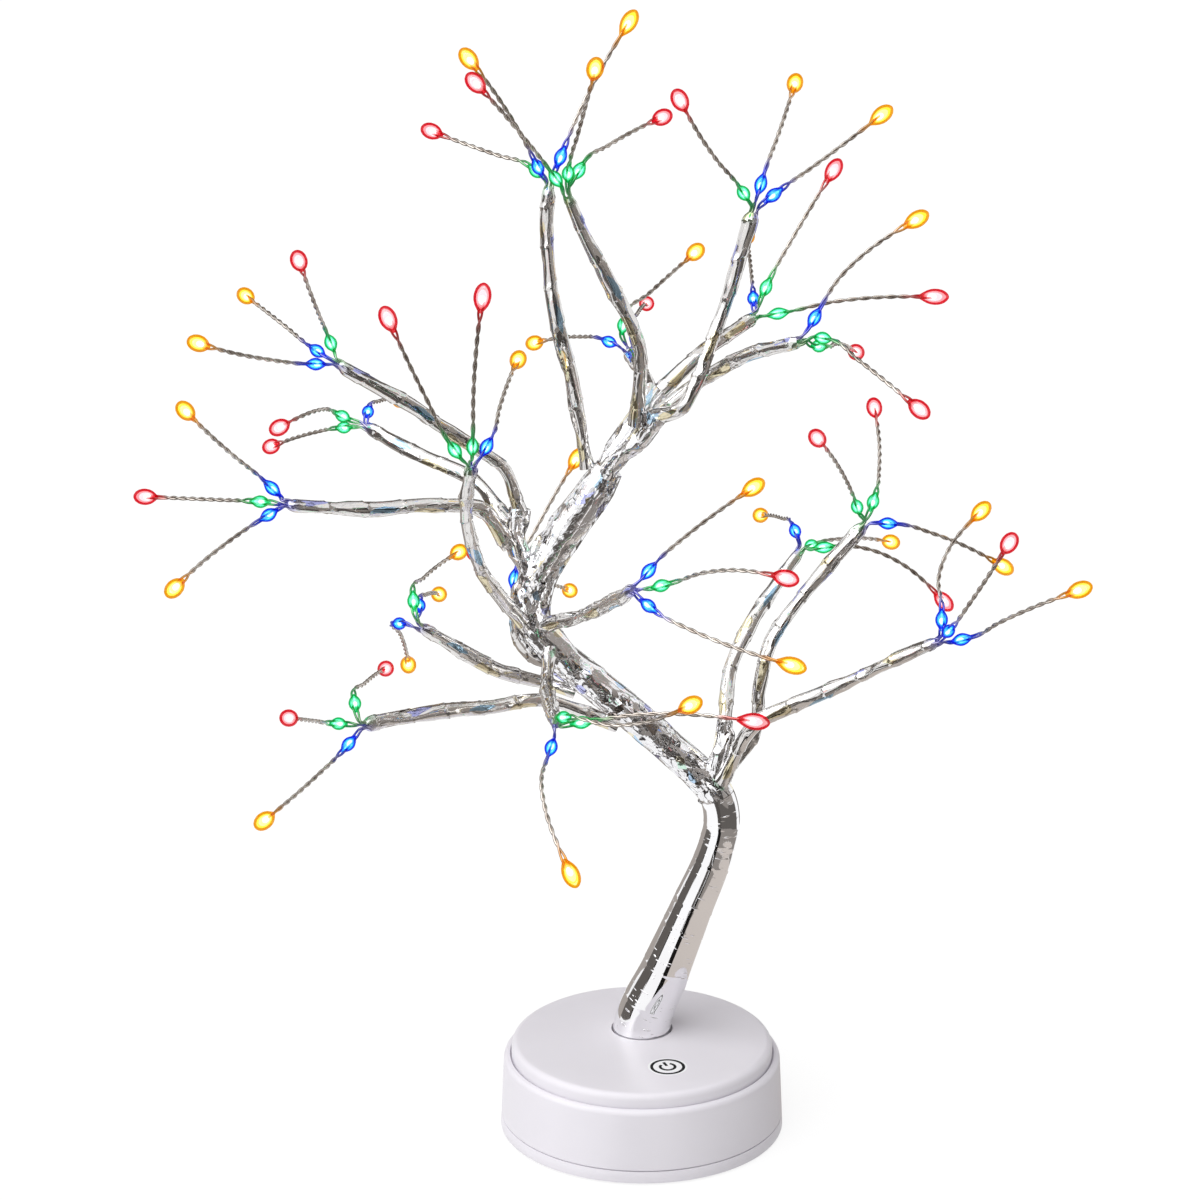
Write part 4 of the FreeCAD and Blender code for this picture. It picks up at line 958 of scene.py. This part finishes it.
# the limbs' middles, from the trunk's foot
LIMBS = {
    "limb_left": [
        (-0.0415, 0.001, 0.196), (-0.050, 0.001, 0.210), (-0.052, 0.002, 0.221), (-0.051, 0.003, 0.231),
    ],
    "limb_right": [
        (0.026, -0.007, 0.106), (0.031, -0.007, 0.123), (0.033, -0.007, 0.134), (0.034, -0.006, 0.142),
    ],
    "limb_crown_front": [
        (-0.018, 0.001, 0.243), (-0.009, -0.004, 0.256), (-0.001, -0.007, 0.266), (0.005, -0.009, 0.275),
    ],
    "limb_crown_back": [
        (-0.020, 0.002, 0.243), (-0.010, 0.005, 0.258), (0.000, 0.006, 0.272), (0.007, 0.005, 0.282),
    ],
}

for limb, places in LIMBS.items():
    line, gone = curve_through(FOOT + np.array(places), TRUNK_STEP)
    radii = np.full(len(line), LIMB_RADIUS)
    spots = unroll(gone, radii, LIMB_AROUND, LIMB_STRETCH)
    heights = np.clip(crumple(spots, LIMB_CRUMPLES, rng), -LIMB_DEPTH, LIMB_DEPTH)
    piece = skin(limb + "_film", line, radii, heights, spots, crumpled_film)
    crisp(piece, CRUMPLE_SHARPNESS)
    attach(piece, "base_and_trunk")
    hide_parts(limb)

# The branches: bundles of wires wound in the same film, gathered at the root where they
# leave the trunk, with a lap of the film standing up every so often.
BRANCHES = "abcdefghijklmnopqr"
STEM_SIDES = 6
STEM_RADIUS = 0.00275
STEM_ROOT_RADIUS, STEM_ROOT_LENGTH = 0.0031, 0.009
STEM_TIP_SLIMMER, STEM_TIP_TAPER = 0.42, 0.004
STEM_STEP = 0.00085
STEM_AROUND = 28
STEM_SIDE = (0.2, 0.9, 0.3)
STEM_SHARPNESS = 26
STEM_BURIED = 0.0032
STEM_STRETCH = 3.6
STEM_CRUMPLES = [(0.0024, 0.45), (0.0013, 0.25)]
STEM_LOWEST, STEM_HIGHEST = -0.00045, 0.0005
STEM_LAP = 0.0165
STEM_LAP_RISE, STEM_LAP_FALL = 0.00042, 9
STEM_LAP_SLANT = 0.002
STEM_TIP_CALM, STEM_TIP_LEAST = 0.002, 0.2
STEM_BRIGHT = (0.77, 0.755, 0.745)
# nearly a whole turn, in radians
ANY_TURN = 6.0

stem_film = film_finish(
    "stem_film", patch=0.0026, tilt=0.34, painted_dark_share=0.22, roughness=0.08, pinched=(0.44, 0.56),
    glints=0.7, bright=STEM_BRIGHT,
)
turns = even_turns(STEM_AROUND)
strand_ends, stems = {}, {}
for branch in BRANCHES:
    points, triangles = welded(f"branch_{branch}_wires")
    parts = islands(points, triangles)
    middles, ring_radii = tube_line(points, triangles, parts[0], STEM_SIDES)
    if ring_radii[0] > ring_radii[-1]:
        middles = middles[::-1]
    strand_ends[branch] = (points, triangles, parts[1:])
    root = middles[0]
    out = (middles[1] - root) / np.linalg.norm(middles[1] - root)
    knots = np.concatenate([[root - out * STEM_BURIED, root], middles[2:]])
    line, gone = curve_through(knots, STEM_STEP)
    left = gone[-1] - gone
    radii = np.full(len(line), STEM_RADIUS)
    radii += (STEM_ROOT_RADIUS - STEM_RADIUS) * np.exp(-((gone / STEM_ROOT_LENGTH) ** 2))
    radii *= 1 - STEM_TIP_SLIMMER * np.clip(1 - left / STEM_TIP_TAPER, 0, 1) ** 2
    spots = unroll(gone, radii, STEM_AROUND, STEM_STRETCH)
    heights = np.clip(crumple(spots, STEM_CRUMPLES, rng), STEM_LOWEST, STEM_HIGHEST)
    shift = rng.uniform(0, STEM_LAP)
    slant = STEM_LAP_SLANT * np.cos(turns + rng.uniform(0, ANY_TURN))
    lap = ((gone[:, None] + shift + slant[None]) % STEM_LAP) / STEM_LAP
    heights = heights + STEM_LAP_RISE * np.exp(-lap * STEM_LAP_FALL)
    heights *= np.clip(left / STEM_TIP_CALM, STEM_TIP_LEAST, 1)[:, None]
    name = f"branch_{branch}_wrapped_wires"
    stem = skin(name, line, radii, heights, spots, stem_film, STEM_SIDE)
    crisp(stem, STEM_SHARPNESS)
    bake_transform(stem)
    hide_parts(f"branch_{branch}_wires")
    stems[branch] = stem

# The twigs: pairs of thin lacquered wires, twisted together by hand. The two wires part
# where they pass on either side of a chip, and just before the light at the end.
TWIG_COUNT = 3
TWIG_SIDES = 3
LIGHT_SIDES = 5
WIRE_RADIUS = 0.00050
WIRE_SIDES = 7
WIRE_STEP = 0.0006
WIRE_SIDE = (0.31, 0.42, 0.85)
TWIST_PITCH = 0.0112
TWIST_OFFSET = 0.00044
PARTED_OFFSET = 0.00085
PARTING = 0.0046
LINE_LIGHT_LENGTH = 0.010
# how far back into the stem a lead starts, as a share of its first stretch
LEAD_BACK = 1.4

wire, add = new_finish("lacquered_wire")
wire_cloud = add("TexNoise", Vector=add("TexCoord").outputs["Object"], Scale=90.0, Detail=3.0)
wire_tone = colour_run(add, wire_cloud, (0.34, (0.33, 0.285, 0.25)), (0.66, (0.66, 0.61, 0.56)))
# the wires take painted light and glow from the lights close by
wire_body = add("BsdfPrincipled", Metallic=1.0, Roughness=0.24, **painted_light_nearby(add, wire_tone))
add("OutputMaterial", Surface=wire_body)


class Shape:
    """Points and faces gathered for one piece, with a material number for each face."""

    def __init__(self):
        self.points, self.faces, self.finishes = [], [], []

    def tube(self, rings, finish=0):
        """A closed tube through rings of points, its ends shut."""
        faces = tube_faces(len(rings), len(rings[0]), len(self.points))
        self.points += [point for ring in rings for point in ring]
        self.faces += faces
        self.finishes += [finish] * len(faces)

    def piece(self, name, materials):
        """The object made of what was gathered."""
        made = mesh_piece(name, self.points, self.faces)
        for material in materials:
            made.data.materials.append(material)
        made.data.polygons.foreach_set("material_index", self.finishes)
        return made


def round_tube(shape, line, radii, sides, finish=0):
    """Adds a closed round tube along a line to a shape."""
    turns = even_turns(sides)[:, None]
    rings = [
        c + r * (np.cos(turns) * a + np.sin(turns) * b)
        for c, r, a, b in zip(line, radii, *frames_along(line, WIRE_SIDE))
    ]
    shape.tube(rings, finish)


def towards(line, place):
    """The line, turned so that it ends nearest to the place."""
    ends = np.linalg.norm(line[0] - place), np.linalg.norm(line[-1] - place)
    return line if ends[1] <= ends[0] else line[::-1]


twigs, wires = {}, {}
for branch in BRANCHES:
    points, triangles, parts = strand_ends[branch]
    light_points, light_triangles = welded(f"branch_{branch}_lights")
    light_parts = islands(light_points, light_triangles)
    twigs[branch] = []
    pair = Shape()
    for number in range(TWIG_COUNT):
        lead, _ = tube_line(points, triangles, parts[2 * number], TWIG_SIDES)
        run, _ = tube_line(points, triangles, parts[2 * number + 1], TWIG_SIDES)
        bead, _ = tube_line(light_points, light_triangles, light_parts[2 * number], LIGHT_SIDES)
        drop, widths = tube_line(
            light_points, light_triangles, light_parts[2 * number + 1], LIGHT_SIDES,
        )
        if widths[0] > widths[-1]:
            drop = drop[::-1]
        lead = towards(lead, bead.mean(0))
        bead = towards(bead, drop[0])
        run = towards(run, drop[0])
        twigs[branch].append((bead, drop))
        inward = lead[0] - (lead[1] - lead[0]) * LEAD_BACK
        at_joint = bead[0] * 0.5 + lead[-1] * 0.5
        knots = np.concatenate([[inward], lead[:2], [at_joint], [bead[1]], run, [drop[1]]])
        line, gone = curve_through(knots, WIRE_STEP)
        at_bead = gone[np.linalg.norm(line - bead[1], axis=1).argmin()]
        at_drop = gone[np.linalg.norm(line - drop[0], axis=1).argmin()]
        by_bead = 1 - (np.abs(gone - at_bead) - LINE_LIGHT_LENGTH / 2) / PARTING
        by_drop = 1 - (at_drop - gone) / PARTING
        parted = np.clip(np.maximum(by_bead, by_drop), 0, 1)
        parted = parted * parted * (3 - 2 * parted)
        offset = TWIST_OFFSET + (PARTED_OFFSET - TWIST_OFFSET) * parted
        turn = np.cumsum((1 - parted) * 2 * math.pi / TWIST_PITCH * np.gradient(gone))
        turn = turn + rng.uniform(0, ANY_TURN)
        side, other = frames_along(line, WIRE_SIDE)
        away = (side * np.cos(turn)[:, None] + other * np.sin(turn)[:, None]) * offset[:, None]
        for strand in (line + away, line - away):
            round_tube(pair, strand, np.full(len(line), WIRE_RADIUS), WIRE_SIDES)
    piece = pair.piece(f"branch_{branch}_twisted_wires", [wire])
    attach(piece, f"branch_{branch}")
    wires[branch] = piece

# The lights: a chip soldered between the two wires in a drop of clear resin, drawn out along
# the wires while it was soft. They are lit: the resin takes the chip's colour, deepest at
# its rim, and turns pale round the chip.
BEAD_RADIUS = 0.0026
DROP_RADIUS = 0.0034
LATHE_SIDES = 20
RESIN_SHARPNESS = math.radians(50)
# outlines as shares of the length and of the widest radius
BEAD_OUTLINE = [
    (0.0, 0.20), (0.07, 0.34), (0.16, 0.53), (0.27, 0.77), (0.38, 0.94), (0.48, 1.0),
    (0.58, 0.97), (0.70, 0.82), (0.81, 0.60), (0.91, 0.38), (1.0, 0.20),
]
DROP_OUTLINE = [
    (0.0, 0.27), (0.06, 0.38), (0.15, 0.57), (0.27, 0.80), (0.40, 0.95), (0.52, 1.0),
    (0.64, 0.98), (0.75, 0.89), (0.85, 0.73), (0.93, 0.50), (0.98, 0.27), (1.0, 0.10),
]
# the glow's clear shells and its opaque heart: how wide each is, and from which share of the
# drop's length to which
GLOW_SHELLS = [(0.70, 0.13, 0.91), (0.53, 0.19, 0.78)]
HEART = (0.36, 0.27, 0.58)
SPINDLE_STEPS, SPINDLE_BLUNTNESS, SPINDLE_LEAST = 9, 2.6, 0.03
CHIP_AT = 0.19
CHIP_SIZE = (0.0016, 0.0012, 0.0008)
CHIP_SIDE = (0.1, 0.9, 0.3)
# how unevenly the resin glows, how clear it is at most, and how much of its gloss shows
DIMMEST, BRIGHTEST = 0.8, 1.2
CLEAREST = 0.6
GLOSS_SHARE = 0.3
# how much of the rim's colour comes through the resin, and how much of it the chip has
TINT_SHARE = 0.9
# how far from its resin a light's painted light still colours the wires and the film, and how fast that
# fades
GLOW_REACH, GLOW_FADE = 0.010, 1.5
# each colour at the resin's rim, and what the two shells add round the chip
RESIN_COLOURS = {
    "red": ((0.78, 0.012, 0.028), (0.30, 0.20, 0.21), (0.10, 0.24, 0.25)),
    "yellow": ((0.95, 0.40, 0.004), (0.2, 0.30, 0.03), (0.1, 0.24, 0.20)),
    "blue": ((0.010, 0.045, 0.90), (0.01, 0.22, 0.3), (0.10, 0.40, 0.2)),
    "green": ((0.010, 0.58, 0.15), (0.06, 0.34, 0.22), (0.20, 0.30, 0.32)),
}
# each branch's three twigs from left to right: the in-line light's and the end light's colour
TWIG_COLOURS = {
    "a": ("green red", "blue yellow", "blue yellow"),
    "b": ("green red", "green yellow", "green red"),
    "c": ("blue yellow", "blue red", "green yellow"),
    "d": ("green red", "blue yellow", "blue yellow"),
    "e": ("blue yellow", "green red", "green red"),
    "f": ("green red", "green red", "blue yellow"),
    "g": ("green red", "green red", "blue yellow"),
    "h": ("blue yellow", "blue yellow", "green red"),
    "i": ("green red", "green red", "blue yellow"),
    "j": ("green red", "blue yellow", "blue yellow"),
    "k": ("green red", "green yellow", "blue yellow"),
    "l": ("blue yellow", "blue yellow", "green yellow"),
    "m": ("blue yellow", "green red", "green red"),
    "n": ("blue yellow", "green yellow", "green red"),
    "o": ("blue yellow", "green red", "blue yellow"),
    "p": ("blue yellow", "green yellow", "green red"),
    "q": ("green red", "green red", "blue yellow"),
    "r": ("blue yellow", "blue red", "blue yellow"),
}


def uneven_light(name, level, scale=700.0, clear=None):
    """A glow that is a little uneven, and see-through where a clear colour is given."""
    finish, add = new_finish(name)
    strength = max(level)
    cloud = add("TexNoise", Vector=add("TexCoord").outputs["Object"], Scale=scale, Detail=2.0)
    uneven = add("MapRange", cloud, To_Min=strength * DIMMEST, To_Max=strength * BRIGHTEST)
    shown = add("Emission", Color=(*[c / strength for c in level], 1), Strength=uneven)
    if clear:
        shown = add("AddShader", add("BsdfTransparent", Color=(*clear, 1)), shown)
    return finish, add, shown


def resin_finishes(colour):
    """The clear drop's skin, the two shells of its glow, its white heart and the chip."""
    rim, *shells = RESIN_COLOURS[colour]
    through = [CLEAREST if c > CLEAREST**2 else math.sqrt(c * TINT_SHARE) for c in rim]
    shine = [max(0.0, (c - t * t) / (1 + t)) for c, t in zip(rim, through)]
    finish, add, shown = uneven_light("resin_" + colour, shine, 260.0, through)
    gloss = add("BsdfGlossy", Roughness=0.08)
    edge = add("Math", add("Fresnel", IOR=1.5), GLOSS_SHARE, operation="MULTIPLY")
    add("OutputMaterial", Surface=add("MixShader", edge, shown, gloss))
    made = [finish]
    inner = [(f"glow_{colour}_{number}", level, (1, 1, 1)) for number, level in enumerate(shells)]
    inner.append(("heart_" + colour, [1.0 - c for c in shine], None))
    inner.append(("chip_" + colour, [c * TINT_SHARE for c in rim], None))
    for name, level, clear in inner:
        # seen through the skin, which holds back part of each colour
        level = [c / t for c, t in zip(level, through)]
        finish, add, shown = uneven_light(name, level, clear=clear)
        add("OutputMaterial", Surface=shown)
        made.append(finish)
    return made


def turned_along(shape, start, end, radius, outline, finish):
    """A turned body on the axis from start to end."""
    stations = [start + (end - start) * share for share, _ in outline]
    radii = [radius * width for _, width in outline]
    round_tube(shape, np.array(stations), radii, LATHE_SIDES, finish)


def narrower(outline, width, start, end):
    """A smooth spindle that lies inside the outline, from one share of its length to another."""
    shares, widths = zip(*outline)
    inner = []
    for i in range(SPINDLE_STEPS + 1):
        share = 0.5 - 0.5 * math.cos(math.pi * i / SPINDLE_STEPS)
        at = start + (end - start) * share
        round_end = (1 - abs(2 * share - 1) ** SPINDLE_BLUNTNESS) ** 0.5
        wide = width * np.interp(at, shares, widths) * round_end
        inner.append((at, max(SPINDLE_LEAST, wide)))
    return inner


def chip_ends(start, end):
    """The corners of the chip's two ends, in a light from start to end."""
    middle = start + (end - start) * CHIP_AT
    way = (end - start) / np.linalg.norm(end - start)
    side = np.cross(way, CHIP_SIDE)
    side /= np.linalg.norm(side)
    wide, deep = side * CHIP_SIZE[1] / 2, np.cross(way, side) * CHIP_SIZE[2] / 2
    ends = (-CHIP_SIZE[0] / 2, CHIP_SIZE[0] / 2)
    corners = ((1, 1), (-1, 1), (-1, -1), (1, -1))
    return [[middle + way * reach + a * wide + b * deep for a, b in corners] for reach in ends]


def paint_nearby_light(piece, lamps):
    """Paints onto each point of a piece the colour of the nearest light, and how much of it."""
    points = np.zeros(len(piece.data.vertices) * 3)
    piece.data.vertices.foreach_get("co", points)
    points = points.reshape(-1, 3)
    colours, strongest = np.ones((len(points), 3)), np.zeros(len(points))
    for start, end, colour in lamps:
        way = end - start
        along = np.clip((points - start) @ way / (way @ way), 0, 1)
        away = np.linalg.norm(points - (start + along[:, None] * way), axis=1)
        share = np.clip(1 - away / GLOW_REACH, 0, 1) ** GLOW_FADE
        closer = share > strongest
        colours[closer], strongest[closer] = colour, share[closer]
    write_painted_light(piece, np.column_stack([colours, strongest]))


finishes, first_of = [], {}
for colour in RESIN_COLOURS:
    first_of[colour] = len(finishes)
    finishes += resin_finishes(colour)
for branch in BRANCHES:
    order = sorted(range(TWIG_COUNT), key=lambda number: twigs[branch][number][1][:, 0].mean())
    beads, drops, lamps = Shape(), Shape(), []
    for number, colours in zip(order, TWIG_COLOURS[branch]):
        bead, drop = twigs[branch][number]
        for shape, ends, radius, outline, colour in (
            (beads, bead, BEAD_RADIUS, BEAD_OUTLINE, colours.split()[0]),
            (drops, drop, DROP_RADIUS, DROP_OUTLINE, colours.split()[1]),
        ):
            start, end, finish = ends[0], ends[-1], first_of[colour]
            lamps.append((start, end, RESIN_COLOURS[colour][0]))
            turned_along(shape, start, end, radius, outline, finish)
            for width, low, high in (*GLOW_SHELLS, HEART):
                finish += 1
                spindle = narrower(outline, width, low, high)
                turned_along(shape, start, end, radius, spindle, finish)
            shape.tube(chip_ends(start, end), finish + 1)
    for shape, name in ((beads, "line_lights"), (drops, "end_lights")):
        piece = shape.piece(f"branch_{branch}_{name}", finishes)
        piece.data.set_sharp_from_angle(angle=RESIN_SHARPNESS)
        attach(piece, f"branch_{branch}")
        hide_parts(f"branch_{branch}_lights")
    # painted light: the nearby lights' colour is painted onto the wires and the stems, as light and as
    # glow
    paint_nearby_light(wires[branch], lamps)
    paint_nearby_light(stems[branch], lamps)
